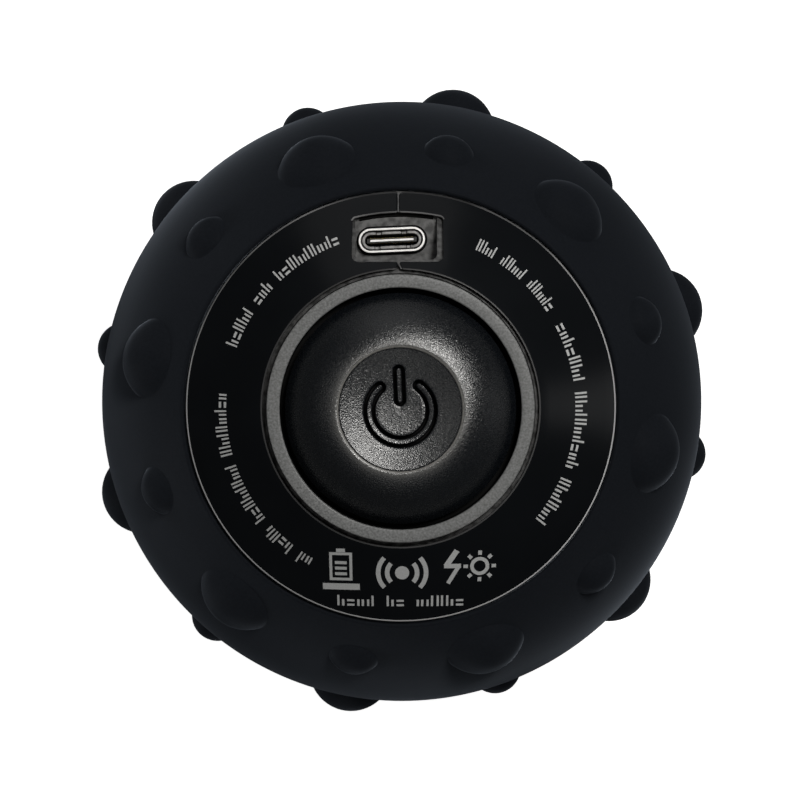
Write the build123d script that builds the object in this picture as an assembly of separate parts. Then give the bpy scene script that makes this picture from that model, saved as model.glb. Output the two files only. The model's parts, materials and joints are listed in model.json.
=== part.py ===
from build123d import *
import math
import os

# A rechargeable vibrating massage ball, in millimetres, +Z up through its power button, +Y towards its
# charging port. The ball stands on the six rear bumps, and the origin is on that surface under its centre.
# Every function below measures heights from the ball's own centre; save() lifts the piece to its place.

# ---- driving dimensions ---------------------------------------------------------------------------------
BALL_R = 45.5          # silicone surface between the bumps
SLEEVE_WALL = 3.0      # silicone thickness
SHELL_R = 42.3         # outside of the two hard shells
SHELL_WALL = 2.2       # their wall
FIT = 0.05             # running gap between a moving piece and its guide

BIG_BUMP_R = 6.45      # radius of the dome of a large bump
BIG_BUMP_TOP = 48.4    # its tip, from the ball's centre
SMALL_BUMP_R = 4.0
SMALL_BUMP_TOP = 47.4
BUMPS_PER_KIND = 6     # large and small bumps alternate, six of each to a row
FIRST_BIG = 19.3       # azimuth of a large bump on the equator
FRONT_ROW = 52.3       # angle of the front row from +Z; the rear row mirrors it
REST_RING = 162.0      # angle from +Z of the six bumps that the ball stands on

SLEEVE_MOUTH_R = 29.5  # the sleeve ends round the face
CROWN_R = 29.3         # the front shell fills the mouth
FACE_R_OUT = 29.2      # conical face panel
FACE_Z_OUT = 34.9
FACE_R_IN = 18.3
FACE_Z_IN = 42.3
FACE_T = 0.6
GLUE_T = 0.12
SLIT_X = -0.35         # where the panel's two ends meet
SLIT_W = 0.22

RING_R_OUT = 17.65     # visible light ring
RING_R_IN = 15.9
RING_TOP = 43.6
RING_TUBE_R = 18.5     # the ring's tube, which guides the button
RING_TUBE_BORE = 17.15
RING_TUBE_BOTTOM = 29.2
RING_SHELF = 40.2      # underside that stops the button's flange
COLLAR_BORE = 18.7
COLLAR_OUT = 20.2
COLLAR_BOTTOM = 33.5
SHELL_LIP_R = 17.85
SHELL_SHELF = 41.05

BUTTON_R = 15.25
BUTTON_EDGE_Z = 43.2
BUTTON_CREST_R = 8.7
BUTTON_CREST_Z = 47.4
DISH_R = 8.05
DISH_RIM_Z = 47.25
DISH_FLOOR_Z = 46.1
TRAVEL = 0.5           # the button's and the switch's stroke
SYMBOL_R = 4.05        # power symbol: middle of the arc
SYMBOL_W = 1.7
SYMBOL_DEPTH = 0.6
SYMBOL_RIB = 0.65
SYMBOL_GAP = 38.7      # half of the arc's opening, degrees
SYMBOL_BAR = (0.75, 6.05)
SYMBOL_Y = -0.2        # the symbol sits a little below the button's centre
TURN = 2.5             # the symbol and the socket are turned this many degrees

BOARD_TOP = 28.0
BOARD_T = 1.2
BOARD_R = 27.0

POCKET_X = -0.63       # port pocket in the front shell
POCKET_W = 11.0
POCKET_Y = 19.7
POCKET_R = 26.25       # its outer edge follows a circle round the ball's axis
POCKET_FLOOR = 35.7
POCKET_WALL = 1.2
PORTHOLE_X = -0.4      # the larger cut-out in the panel over it
PORTHOLE_W = 12.15
PORTHOLE_Y = 19.4
PORTHOLE_R = 26.2
CORNER_R = 0.9
USB_X = -1.2
USB_Y = 22.55
USB_W = 8.94
USB_H = 3.26
USB_WALL = 0.3
USB_MOUTH = 36.95

MOTOR_Z = 5.0
MOTOR_R = 12.2
MOTOR_HALF = 15.4      # half of the can's length
SHAFT_R = 1.15
SHAFT_HALF = 27.6
WEIGHT_R = 12.5
WEIGHT_X = (19.0, 27.0)
CRADLE_TOP = -9.6
CRADLE_T = 2.0
CRADLE_R = 34.5
SADDLE_X = 9.0
SADDLE_W = 5.0
BAND_W = 5.6
BAND_R = 12.7
CLAMP_T = 2.0
CLAMP_EAR_Y = 16.6

BATTERY_TOP = -12.4
BATTERY_T = 6.0
BATTERY_W = 34.0
BATTERY_X = (-25.0, 21.3)
FOAM_T = 0.8
PLUG_LEAD_Z = 20.05    # the leads enter the plug's side here, above the turning weights

MAIN_SCREW_XY = 24.0
MAIN_SEAT = -10.0      # height of the shell screws' heads
MAIN_POST_R = 3.4
MAIN_POST_TOP = 24.0
MAIN_TUBE_R = 4.3
CRADLE_BOSSES = ((31.0, 0.0), (-31.0, 0.0), (0.0, 26.5), (0.0, -26.5))
RING_SCREW_ANGLES = (25.0, 155.0, 270.0)
RING_SCREW_R = 22.4
BOARD_SCREW_ANGLES = (56.0, 190.0, 310.0)
BOARD_SCREW_R = 24.0
LED_COUNT = 6
LED_R = 17.85

# ---- sizes that follow from them ------------------------------------------------------------------------
SLEEVE_INNER_R = BALL_R - SLEEVE_WALL
SHELL_INNER_R = SHELL_R - SHELL_WALL
FACE_SLOPE = (FACE_Z_IN - FACE_Z_OUT) / (FACE_R_OUT - FACE_R_IN)
FACE_COS = math.cos(math.atan(FACE_SLOPE))
BOARD_BOTTOM = BOARD_TOP - BOARD_T
BIG_CENTRE = BIG_BUMP_TOP - BIG_BUMP_R
SMALL_CENTRE = SMALL_BUMP_TOP - SMALL_BUMP_R
CENTRE_Z = BIG_BUMP_R - BIG_CENTRE * math.cos(math.radians(REST_RING))
BATTERY_BOTTOM = BATTERY_TOP - BATTERY_T
CRADLE_BOTTOM = CRADLE_TOP - CRADLE_T
MAIN_CORNERS = [(x, y) for x in (-MAIN_SCREW_XY, MAIN_SCREW_XY) for y in (-MAIN_SCREW_XY, MAIN_SCREW_XY)]
CLAMP_PLACES = [(x, y) for x in (-SADDLE_X, SADDLE_X) for y in (-CLAMP_EAR_Y, CLAMP_EAR_Y)]


# ---- helpers --------------------------------------------------------------------------------------------
def disc(radius, low, high):
    """A cylinder about the ball's axis between two heights."""
    return Pos(0, 0, (low + high) / 2) * Cylinder(radius, high - low)


def tube(outer, inner, low, high):
    return disc(outer, low, high) - disc(inner, low, high)


def block(x0, x1, y0, y1, z0, z1):
    middle = Pos((x0 + x1) / 2, (y0 + y1) / 2, (z0 + z1) / 2)
    return middle * Box(x1 - x0, y1 - y0, z1 - z0)


def barrel(radius, x0, x1):
    """A cylinder about the motor's axis between two places along X."""
    return Pos((x0 + x1) / 2, 0, MOTOR_Z) * Rot(0, 90, 0) * Cylinder(radius, x1 - x0)


def sleeve_on_motor(outer, inner, x0, x1):
    return barrel(outer, x0, x1) - barrel(inner, x0, x1)


def polar(radius, azimuth, z=0.0):
    """A place at a distance and direction from the ball's axis."""
    angle = math.radians(azimuth)
    return Pos(radius * math.cos(angle), radius * math.sin(angle), z)


def turned(points):
    """A solid of revolution about the ball's axis, from the corners of its half section."""
    return revolve(Plane.XZ * make_face(Polyline(*points, close=True)), Axis.Z)


def turned_outline(*lines):
    """A solid of revolution from the lines and arcs that close its half section."""
    return revolve(Plane.XZ * make_face(Curve() + list(lines)), Axis.Z)


def face_z(radius):
    """Height of the face panel's visible surface at a distance from the axis."""
    return FACE_Z_OUT + (FACE_R_OUT - radius) * FACE_SLOPE


def seat_z(radius):
    """Height of the shell's cone under the panel and its glue."""
    return face_z(radius) - (FACE_T + GLUE_T) / FACE_COS - 0.02


def rounded_slot(width, height, low, high):
    """An upright bar with round ends, standing on its end."""
    outline = RectangleRounded(width, height, height / 2 - 0.01)
    return Pos(0, 0, low) * extrude(outline, high - low)


def at_port(shape):
    return Pos(USB_X, USB_Y, 0) * Rot(0, 0, TURN) * shape


def screw(shank_r, length, head_r, head_h, pitch=0.8):
    """A self-tapping screw pointing up, its head below zero, with a cross recess."""
    root = shank_r * 0.78
    points = [(0, -head_h), (head_r * 0.75, -head_h), (head_r, -head_h * 0.6), (head_r, 0), (root, 0)]
    z = pitch
    while z < length - 1.5 * pitch:
        points += [(root, z), (shank_r, z + 0.35 * pitch), (root, z + 0.7 * pitch)]
        z += pitch
    points += [(root, length - pitch), (0, length)]
    body = turned(points)
    arm = Box(head_r * 1.1, head_r * 0.3, head_h * 1.1)
    cross = arm + Rot(0, 0, 90) * arm
    return body - Pos(0, 0, -head_h) * cross


def group(solids):
    """Separate solids kept together in one node."""
    return Compound(list(solids))


def save(name, shape):
    export_step(Pos(0, 0, CENTRE_Z) * shape, f"parts/{name}.step")


# ---- silicone sleeve ------------------------------------------------------------------------------------
def bump(radius, centre, polar_angle, azimuth):
    """A dome on the sleeve: a ball whose centre lies under the surface."""
    return Rot(0, 0, azimuth) * Rot(0, polar_angle, 0) * Pos(0, 0, centre) * Sphere(radius)


def bump_row(polar_angle, first_big):
    step = 360.0 / BUMPS_PER_KIND
    bumps = []
    for i in range(BUMPS_PER_KIND):
        bumps.append(bump(BIG_BUMP_R, BIG_CENTRE, polar_angle, first_big + i * step))
        bumps.append(bump(SMALL_BUMP_R, SMALL_CENTRE, polar_angle, first_big + (i + 0.5) * step))
    return bumps


def silicone_sleeve():
    step = 360.0 / BUMPS_PER_KIND
    bumps = bump_row(90.0, FIRST_BIG)
    bumps += bump_row(FRONT_ROW, FIRST_BIG + step / 2)
    bumps += bump_row(180.0 - FRONT_ROW, FIRST_BIG + step / 2)
    for i in range(BUMPS_PER_KIND):
        bumps.append(bump(BIG_BUMP_R, BIG_CENTRE, REST_RING, FIRST_BIG + i * step))
    skin = Sphere(BALL_R) + bumps
    return skin - Sphere(SLEEVE_INNER_R) - disc(SLEEVE_MOUTH_R, 0, 2 * BALL_R)


# ---- hard shells ----------------------------------------------------------------------------------------
def arc_height(sphere_r, radius):
    """How high a ball of one radius reaches at a distance from its axis."""
    return math.sqrt(sphere_r ** 2 - radius ** 2)


def arc_angle(sphere_r, radius):
    return math.degrees(math.acos(radius / sphere_r))


def pocket_outline(x, width, near, far_radius):
    """The port pocket's outline: straight sides, its far side a circle round the ball's axis."""
    depth = far_radius + 2 - near
    rectangle = Pos(x, near + depth / 2) * RectangleRounded(width, depth, CORNER_R)
    return rectangle & Circle(far_radius)


def under_the_seat():
    """Everything inside the crown below the panel's seat."""
    points = [(0, 25), (CROWN_R, 25), (CROWN_R, seat_z(CROWN_R))]
    points += [(SHELL_LIP_R, seat_z(SHELL_LIP_R)), (0, seat_z(SHELL_LIP_R))]
    return turned(points)


def front_shell():
    wall_drop = SHELL_WALL / FACE_COS
    crown_in = CROWN_R - SHELL_WALL
    outer_start = arc_angle(SHELL_R, CROWN_R)
    inner_start = arc_angle(SHELL_INNER_R, crown_in)
    shell = turned_outline(
        CenterArc((0, 0), SHELL_R, 0, outer_start),
        Polyline(
            (CROWN_R, arc_height(SHELL_R, CROWN_R)),
            (CROWN_R, seat_z(CROWN_R)),
            (SHELL_LIP_R, seat_z(SHELL_LIP_R)),
            (SHELL_LIP_R, SHELL_SHELF),
            (COLLAR_BORE, SHELL_SHELF),
            (COLLAR_BORE, COLLAR_BOTTOM),
            (COLLAR_OUT, COLLAR_BOTTOM),
            (COLLAR_OUT, seat_z(COLLAR_OUT) - wall_drop),
            (crown_in, seat_z(crown_in) - wall_drop),
            (crown_in, arc_height(SHELL_INNER_R, crown_in)),
        ),
        CenterArc((0, 0), SHELL_INNER_R, 0, inner_start),
        Line((SHELL_INNER_R, 0), (SHELL_R, 0)),
    )

    inside = Sphere(SHELL_R - 0.5)
    posts = []
    for azimuth in RING_SCREW_ANGLES:
        posts.append(polar(RING_SCREW_R, azimuth, 35.5) * Cylinder(2.6, 6.1) & under_the_seat())
    for azimuth in BOARD_SCREW_ANGLES:
        posts.append(polar(BOARD_SCREW_R, azimuth, 32.0) * Cylinder(2.3, 7.9))
    for x, y in MAIN_CORNERS:
        posts.append(Pos(x, y, 0) * disc(MAIN_POST_R, 0.1, MAIN_POST_TOP) & inside)
    pocket_block = extrude(
        pocket_outline(POCKET_X, POCKET_W + 2 * POCKET_WALL, POCKET_Y - POCKET_WALL, POCKET_R + POCKET_WALL),
        10.0,
    )
    posts.append(Pos(0, 0, POCKET_FLOOR - POCKET_WALL) * pocket_block & under_the_seat())
    shell += posts

    shell -= disc(COLLAR_BORE, 20, SHELL_SHELF)
    shell -= disc(SHELL_LIP_R, 20, 50)
    pocket = extrude(pocket_outline(POCKET_X, POCKET_W, POCKET_Y, POCKET_R), 10.0)
    shell -= Pos(0, 0, POCKET_FLOOR) * pocket
    shell -= at_port(rounded_slot(USB_W + 0.2, USB_H + 0.2, 20, 40))
    shell -= disc(SHELL_R - 1.05, -1, 2.15) - disc(10, -1, 2.15)
    for x, y in MAIN_CORNERS:
        shell -= Pos(x, y, 0) * disc(1.34, -0.1, 9.1)
    for azimuth in RING_SCREW_ANGLES:
        shell -= polar(RING_SCREW_R, azimuth, 34.3) * Cylinder(1.04, 4.0)
    for azimuth in BOARD_SCREW_ANGLES:
        shell -= polar(BOARD_SCREW_R, azimuth, 30.3) * Cylinder(1.04, 5.0)
    return shell


def rear_shell():
    lower_half = block(-50, 50, -50, 50, -50, 0)
    shell = (Sphere(SHELL_R) - Sphere(SHELL_INNER_R)) & lower_half
    shell += tube(SHELL_R - 1.2, SHELL_INNER_R, -0.5, 2.0)

    cavity = Sphere(SHELL_R - 0.5)
    long_x = -BATTERY_X[0]
    half_y = BATTERY_W / 2
    frame_top = BATTERY_TOP - 0.6
    frame = block(-long_x - 1.8, long_x + 1.8, -half_y - 1.8, half_y + 1.8, -SHELL_R, frame_top)
    frame -= block(-long_x - 0.4, long_x + 0.4, -half_y - 0.4, half_y + 0.4, -SHELL_R, frame_top)
    ribs = [frame]
    rib_top = BATTERY_BOTTOM - FOAM_T - 0.1
    for x in (-16.0, 0.0, 16.0):
        ribs.append(block(x - 0.75, x + 0.75, -half_y - 0.5, half_y + 0.5, -SHELL_R, rib_top))
    for x, y in CRADLE_BOSSES:
        ribs.append(Pos(x, y, 0) * disc(3.0, -SHELL_R, CRADLE_BOTTOM - 0.05))
    for x, y in MAIN_CORNERS:
        ribs.append(Pos(x, y, 0) * disc(MAIN_TUBE_R, -SHELL_R, 0))
    shell += [rib & cavity for rib in ribs]

    for y0 in (-6.2, 3.0):
        shell -= block(24, 28, y0, y0 + 3.2, BATTERY_BOTTOM + 1.5, frame_top + 1)
    for x, y in CRADLE_BOSSES:
        shell -= Pos(x, y, 0) * disc(1.04, CRADLE_BOTTOM - 8, CRADLE_BOTTOM + 1)
    for x, y in MAIN_CORNERS:
        shell -= Pos(x, y, 0) * disc(1.5, MAIN_SEAT - 1, 5)
        shell -= Pos(x, y, 0) * disc(2.9, -SHELL_R, MAIN_SEAT)
    return shell


def shell_screws():
    one = screw(1.3, 18.0, 2.5, 1.8, 1.0)
    return group(Pos(x, y, MAIN_SEAT - 0.02) * one for x, y in MAIN_CORNERS)


# ---- face -----------------------------------------------------------------------------------------------
def cone_sheet(inner, outer, bottom_lift, thickness):
    """A conical washer parallel to the face, lifted off the panel's seat."""
    low = bottom_lift / FACE_COS + 0.01
    high = (bottom_lift + thickness) / FACE_COS + 0.01
    points = [
        (inner, seat_z(inner) + low),
        (outer, seat_z(outer) + low),
        (outer, seat_z(outer) + high),
        (inner, seat_z(inner) + high),
    ]
    return turned(points)


def face_panel():
    panel = cone_sheet(FACE_R_IN, FACE_R_OUT, GLUE_T, FACE_T)
    hole = extrude(pocket_outline(PORTHOLE_X, PORTHOLE_W, PORTHOLE_Y, PORTHOLE_R), 20.0)
    panel -= Pos(0, 0, 30) * hole
    return panel - block(SLIT_X - SLIT_W / 2, SLIT_X + SLIT_W / 2, 0, CROWN_R + 1, 30, 50)


def panel_glue():
    glue = cone_sheet(FACE_R_IN + 0.6, FACE_R_OUT - 0.8, 0, GLUE_T - 0.01)
    hole = extrude(pocket_outline(PORTHOLE_X, PORTHOLE_W + 2, PORTHOLE_Y - 0.7, PORTHOLE_R + 0.9), 20.0)
    return glue - Pos(0, 0, 30) * hole - block(SLIT_X - 0.6, SLIT_X + 0.6, 0, CROWN_R + 1, 30, 50)


def light_ring():
    edge = 0.25
    points = [
        (RING_R_IN, RING_SHELF),
        (RING_TUBE_BORE, RING_SHELF),
        (RING_TUBE_BORE, RING_TUBE_BOTTOM),
        (RING_TUBE_R, RING_TUBE_BOTTOM),
        (RING_TUBE_R, SHELL_SHELF - 0.05),
        (RING_R_OUT, SHELL_SHELF - 0.05),
        (RING_R_OUT, RING_TOP - edge),
        (RING_R_OUT - edge, RING_TOP),
        (RING_R_IN + edge, RING_TOP),
        (RING_R_IN, RING_TOP - edge),
    ]
    ring = turned(points)
    ear = block(RING_TUBE_R - 0.5, RING_SCREW_R, -2.6, 2.6, 30.9, 32.4)
    ear += Pos(RING_SCREW_R, 0, 31.65) * Cylinder(2.6, 1.5)
    ear -= Pos(RING_SCREW_R, 0, 31.65) * Cylinder(1.2, 1.5)
    return ring + [Rot(0, 0, azimuth) * ear for azimuth in RING_SCREW_ANGLES]


def light_ring_screws():
    one = screw(1.0, 5.0, 1.9, 1.3)
    return group(polar(RING_SCREW_R, azimuth, 30.88) * one for azimuth in RING_SCREW_ANGLES)


# ---- button ---------------------------------------------------------------------------------------------
def arc_channel(width, low, high):
    """An upright-walled arc with round ends, open towards the symbol's bar."""
    start = 90.0 + SYMBOL_GAP
    sweep_angle = 360.0 - 2 * SYMBOL_GAP
    line = CenterArc((0, 0), SYMBOL_R, start, sweep_angle)
    sketch = SlotArc(line, width)
    return Pos(0, 0, low) * extrude(sketch, high - low)


def bar_channel(width, low, high):
    """The symbol's upright bar, with round ends."""
    length = SYMBOL_BAR[1] - SYMBOL_BAR[0] - (SYMBOL_W - width)
    middle = (SYMBOL_BAR[0] + SYMBOL_BAR[1]) / 2
    sketch = Pos(0, middle) * Rot(0, 0, 90) * SlotOverall(length, width)
    return Pos(0, 0, low) * extrude(sketch, high - low)


def power_button():
    flange_r = RING_TUBE_BORE - FIT
    flange_top = RING_SHELF - FIT
    flange_bottom = flange_top - 1.9
    dish = ThreePointArc((0, DISH_FLOOR_Z), (DISH_R / 2, DISH_FLOOR_Z + 0.29), (DISH_R, DISH_RIM_Z))
    lip = ThreePointArc((DISH_R, DISH_RIM_Z), (8.3, 47.36), (BUTTON_CREST_R, BUTTON_CREST_Z))
    dome = ThreePointArc((BUTTON_CREST_R, BUTTON_CREST_Z), (12.4, 45.9), (BUTTON_R, BUTTON_EDGE_Z))
    rest = Polyline(
        (BUTTON_R, BUTTON_EDGE_Z),
        (BUTTON_R, flange_top),
        (flange_r, flange_top),
        (flange_r, flange_bottom),
        (13.6, flange_bottom),
        (13.6, 42.4),
        (10.5, 44.9),
        (3.2, 44.1),
        (0, 44.1),
        (0, DISH_FLOOR_Z),
    )
    button = turned_outline(dish, lip, dome, rest)

    post_bottom = BOARD_TOP + 7.35
    rib = block(-0.7, 0.7, -5.5, 5.5, post_bottom + 0.8, 44.3)
    button += [rib, Rot(0, 0, 90) * rib, disc(2.8, post_bottom, post_bottom + 1.0)]

    floor = DISH_FLOOR_Z - SYMBOL_DEPTH + 0.2
    symbol = arc_channel(SYMBOL_W, floor, 50) + bar_channel(SYMBOL_W, floor, 50)
    rib_top = floor + 0.4
    ridge = arc_channel(SYMBOL_RIB, floor - 0.3, rib_top) + bar_channel(SYMBOL_RIB, floor - 0.3, rib_top)
    place = Pos(0, SYMBOL_Y, 0) * Rot(0, 0, TURN)
    return button - place * symbol + place * ridge


# ---- switch ---------------------------------------------------------------------------------------------
def switch_base():
    base = block(-6, 6, -6, 6, BOARD_TOP + 0.02, BOARD_TOP + 3.4)
    base -= disc(4.7, BOARD_TOP + 1.2, BOARD_TOP + 4)
    return base


def switch_cover():
    plate = block(-6, 6, -6, 6, BOARD_TOP + 3.42, BOARD_TOP + 3.72) - disc(3.5, BOARD_TOP, BOARD_TOP + 5)
    tab = block(6.02, 6.3, -1.5, 1.5, BOARD_TOP + 1.0, BOARD_TOP + 3.72)
    tab += block(5.9, 6.3, -1.5, 1.5, BOARD_TOP + 3.42, BOARD_TOP + 3.72)
    return plate + [tab, Rot(0, 0, 180) * tab]


def switch_dome():
    low = BOARD_TOP + 1.25
    rim_r = 4.3
    rise = TRAVEL + 0.16
    curve_r = (rim_r ** 2 + rise ** 2) / (2 * rise)
    curve = Pos(0, 0, low + rise - curve_r)
    return (curve * Sphere(curve_r) - curve * Sphere(curve_r - 0.12)) & disc(rim_r, low, low + 1)


def switch_plunger():
    foot = disc(4.6, BOARD_TOP + 1.95, BOARD_TOP + 3.38)
    stem = disc(3.5 - FIT, BOARD_TOP + 3.0, BOARD_TOP + 7.3)
    return foot + stem


def switch_terminals():
    pins = []
    for x in (-3.2, 3.2):
        pin = block(x - 0.6, x + 0.6, 6.02, 7.6, BOARD_TOP + 0.02, BOARD_TOP + 0.22)
        pin += block(x - 0.6, x + 0.6, 6.02, 6.22, BOARD_TOP + 0.02, BOARD_TOP + 1.2)
        pins += [pin, Rot(0, 0, 180) * pin]
    return group(pins)


# ---- main board -----------------------------------------------------------------------------------------
def main_board():
    board = disc(BOARD_R, BOARD_BOTTOM, BOARD_TOP)
    for azimuth in BOARD_SCREW_ANGLES:
        board -= polar(BOARD_SCREW_R, azimuth, BOARD_TOP - BOARD_T / 2) * Cylinder(1.15, BOARD_T)
    return board


def board_screws():
    one = screw(1.0, 4.6, 1.9, 1.3)
    return group(polar(BOARD_SCREW_R, azimuth, BOARD_BOTTOM - 0.02) * one for azimuth in BOARD_SCREW_ANGLES)


def ring_leds():
    leds = []
    for i in range(LED_COUNT):
        azimuth = (i + 0.5) * 360.0 / LED_COUNT
        led = Pos(0, 0, BOARD_TOP + 0.17) * Box(1.25, 2.0, 0.3)
        led += Pos(0, 0, BOARD_TOP + 0.5) * Box(1.25, 1.4, 0.4)
        leds.append(polar(LED_R, azimuth) * Rot(0, 0, azimuth) * led)
    return group(leds)


def chip(width, depth, height, pins_per_side, pitch):
    """A gull-wing chip: its moulded body and its pins in one piece, standing on zero."""
    shape = Pos(0, 0, height / 2 + 0.15) * Box(width, depth, height)
    for i in range(pins_per_side):
        x = (i - (pins_per_side - 1) / 2) * pitch
        for side in (-1, 1):
            leg = Pos(x, side * (depth / 2 + 0.3), 0.35) * Box(0.35, 0.75, 0.15)
            foot = Pos(x, side * (depth / 2 + 0.75), 0.2) * Box(0.35, 0.6, 0.36)
            shape += leg
            shape += foot
    return shape


def hung(x, y, angle, shape):
    """Puts a component on the board's underside."""
    return Pos(x, y, BOARD_BOTTOM - 0.02) * Rot(0, 0, angle) * Rot(180, 0, 0) * shape


def stood(x, y, angle, shape):
    """Puts a component on the board's upper side."""
    return Pos(x, y, BOARD_TOP + 0.02) * Rot(0, 0, angle) * shape


def controller_chip():
    return hung(-6.0, 4.0, 90, chip(9.9, 3.9, 1.5, 8, 1.27))


def charger_chip():
    return hung(4.5, 17.0, 0, chip(4.9, 3.9, 1.5, 4, 1.27))


def motor_driver():
    return hung(9.0, -12.0, 0, chip(6.5, 6.1, 2.2, 3, 2.28))


def power_inductor():
    core = block(-3, 3, -3, 3, 0, 0.7) + Pos(0, 0, 1.4) * Cylinder(2.0, 2.0)
    return hung(-5.5, 17.5, 0, core + block(-3, 3, -3, 3, 2.1, 2.8))


def flyback_diode():
    body = block(-2.1, 2.1, -1.3, 1.3, 0.1, 2.1)
    return hung(16.5, -12.0, 90, body + block(-2.6, 2.6, -0.7, 0.7, 0, 0.3))


def bulk_capacitor():
    can = Pos(0, 0, 3.2) * Cylinder(3.1, 5.4)
    return hung(-14.0, -12.0, 0, can + block(-3.3, 3.3, -3.3, 3.3, 0, 1.0))


def chip_capacitors():
    places = [(-12, 10), (-12, 13), (-1, 12), (10, 13), (0, -6), (3, -6), (-4, -14), (1, -16)]
    return group(hung(x, y, 90, block(-1.0, 1.0, -0.62, 0.62, 0, 0.9)) for x, y in places)


def chip_resistors():
    places = [(-15, 4), (-15, 1), (-15, -2), (6, -2), (6, 1), (2, 7), (5, 7), (8, 7), (-9, -18), (12, -19)]
    return group(hung(x, y, 0, block(-0.8, 0.8, -0.4, 0.4, 0, 0.45)) for x, y in places)


# ---- charging socket ------------------------------------------------------------------------------------
def usb_shell():
    shell = rounded_slot(USB_W, USB_H, BOARD_TOP + 0.02, USB_MOUTH)
    shell -= rounded_slot(USB_W - 2 * USB_WALL, USB_H - 2 * USB_WALL, BOARD_TOP + 0.02, USB_MOUTH)
    for side in (-1, 1):
        x = side * (USB_W / 2 + 0.35)
        shell += Pos(x, 0, BOARD_TOP + 0.67) * Box(1.1, 1.0, 1.3)
    return at_port(shell)


def usb_tongue():
    base = rounded_slot(USB_W - 2 * USB_WALL - 0.04, USB_H - 2 * USB_WALL - 0.04, BOARD_TOP + 0.02, 30.6)
    tongue = block(-3.34, 3.34, -0.3, 0.3, 30.5, USB_MOUTH - 0.75)
    return at_port(base + tongue)


def usb_contacts():
    strips = []
    for side in (-1, 1):
        for i in range(12):
            x = (i - 5.5) * 0.5
            y0, y1 = sorted((side * 0.31, side * 0.38))
            strips.append(at_port(block(x - 0.125, x + 0.125, y0, y1, 30.62, USB_MOUTH - 1.3)))
    return group(strips)


# ---- battery --------------------------------------------------------------------------------------------
def battery_cell():
    x0, x1 = BATTERY_X
    cell = block(x0, x1, -BATTERY_W / 2, BATTERY_W / 2, BATTERY_BOTTOM, BATTERY_TOP)
    return fillet(cell.edges().filter_by(Axis.Y), 1.6)


def battery_guard_board():
    x = BATTERY_X[1] + 1.6
    return block(x, x + 1.0, -14, 14, BATTERY_BOTTOM + 0.8, BATTERY_TOP - 0.8)


def battery_tape():
    """An insulating band round the cell's end and its guard board."""
    x0, x1 = BATTERY_X[1] - 5.0, BATTERY_X[1] + 3.2
    t = 0.12
    high, low = BATTERY_TOP + 0.02, BATTERY_BOTTOM - 0.02
    top = block(x0, x1, -15, 15, high, high + t)
    bottom = block(x0, x1, -15, 15, low - t, low)
    end = block(x1, x1 + t, -15, 15, low - t, high + t)
    slots = [block(x1 - 0.5, x1 + 0.5, y - 1, y + 1, BATTERY_BOTTOM + 1, BATTERY_TOP - 1) for y in (-4, 4)]
    return top + [bottom, end] - slots


def battery_foam():
    lower = block(-22, 12, -14, 14, BATTERY_BOTTOM - FOAM_T, BATTERY_BOTTOM - 0.01)
    upper = block(-22, 12, -14, 14, BATTERY_TOP + 0.01, CRADLE_BOTTOM - 0.02)
    return group([lower, upper])


def wire(radius, points, radii):
    """A round lead along straight runs joined by arcs."""
    path = FilletPolyline(*points, radius=radii)
    section = Plane(origin=path @ 0, z_dir=path % 0) * Circle(radius)
    return sweep(section, path=path)


def battery_lead(side):
    """One of the two leads from the guard board up to the plug under the main board."""
    y = 4.0 * side
    points = [
        (BATTERY_X[1] + 2.7, y, -15.4),
        (32.6, y * 1.5, -15.4),
        (33.0, y * 2.2, -4.0),
        (31.0, y * 1.6, 10.0),
        (29.5, y * 0.5, PLUG_LEAD_Z),
        (22.85, y * 0.25, PLUG_LEAD_Z),
    ]
    return wire(0.6, points, [3.0, 6.0, 5.0, 3.0])


def battery_socket():
    box = block(18.4, 23.6, -3.9, 3.9, 20.8, BOARD_BOTTOM - 0.02)
    return box - block(19.2, 22.8, -3.2, 3.2, 20.8, 25.5)


def battery_plug():
    return block(19.3, 22.7, -3.1, 3.1, 19.3, 24.8)


# ---- vibration motor ------------------------------------------------------------------------------------
def motor_can():
    can = barrel(MOTOR_R, -MOTOR_HALF, MOTOR_HALF - 1.6)
    can -= barrel(MOTOR_R - 0.6, -MOTOR_HALF + 0.8, MOTOR_HALF)
    nose = barrel(3.6, -MOTOR_HALF - 1.6, -MOTOR_HALF + 0.5)
    return can + nose - barrel(2.5, -MOTOR_HALF - 2, 0)


def motor_end_bell():
    bell = barrel(MOTOR_R, MOTOR_HALF - 1.58, MOTOR_HALF)
    bell += barrel(MOTOR_R - 0.65, MOTOR_HALF - 3.2, MOTOR_HALF - 1)
    bell += barrel(3.6, MOTOR_HALF - 1, MOTOR_HALF + 1.6)
    bell -= barrel(2.5, 0, MOTOR_HALF + 2)
    for side in (-1, 1):
        bell -= Pos(MOTOR_HALF - 1.6, side * 6.0, MOTOR_Z + 7.0) * Box(3.4, 2.4, 0.8)
    return bell


def motor_bushings():
    near = sleeve_on_motor(2.5, SHAFT_R + FIT, -MOTOR_HALF - 1.6, -MOTOR_HALF + 1.0)
    far = sleeve_on_motor(2.5, SHAFT_R + FIT, MOTOR_HALF - 3.0, MOTOR_HALF + 1.6)
    return group([near, far])


def motor_magnets():
    ring = sleeve_on_motor(MOTOR_R - 0.62, 9.3, -10, 9)
    gaps = block(-11, 11, -15, 15, MOTOR_Z - 3.5, MOTOR_Z + 3.5)
    return group((ring - gaps).solids())


def motor_terminals():
    pins = []
    for side in (-1, 1):
        y = side * 6.0
        pin = block(MOTOR_HALF - 3.1, MOTOR_HALF + 1.6, y - 1.1, y + 1.1, MOTOR_Z + 6.7, MOTOR_Z + 7.3)
        pins.append(pin)
    return group(pins)


def motor_brushes():
    arms = []
    for side in (-1, 1):
        y0, y1 = sorted((side * 3.1, side * 4.0))
        arms.append(block(10.6, 11.9, y0, y1, MOTOR_Z - 1, MOTOR_Z + 1))
    return group(arms)


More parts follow.
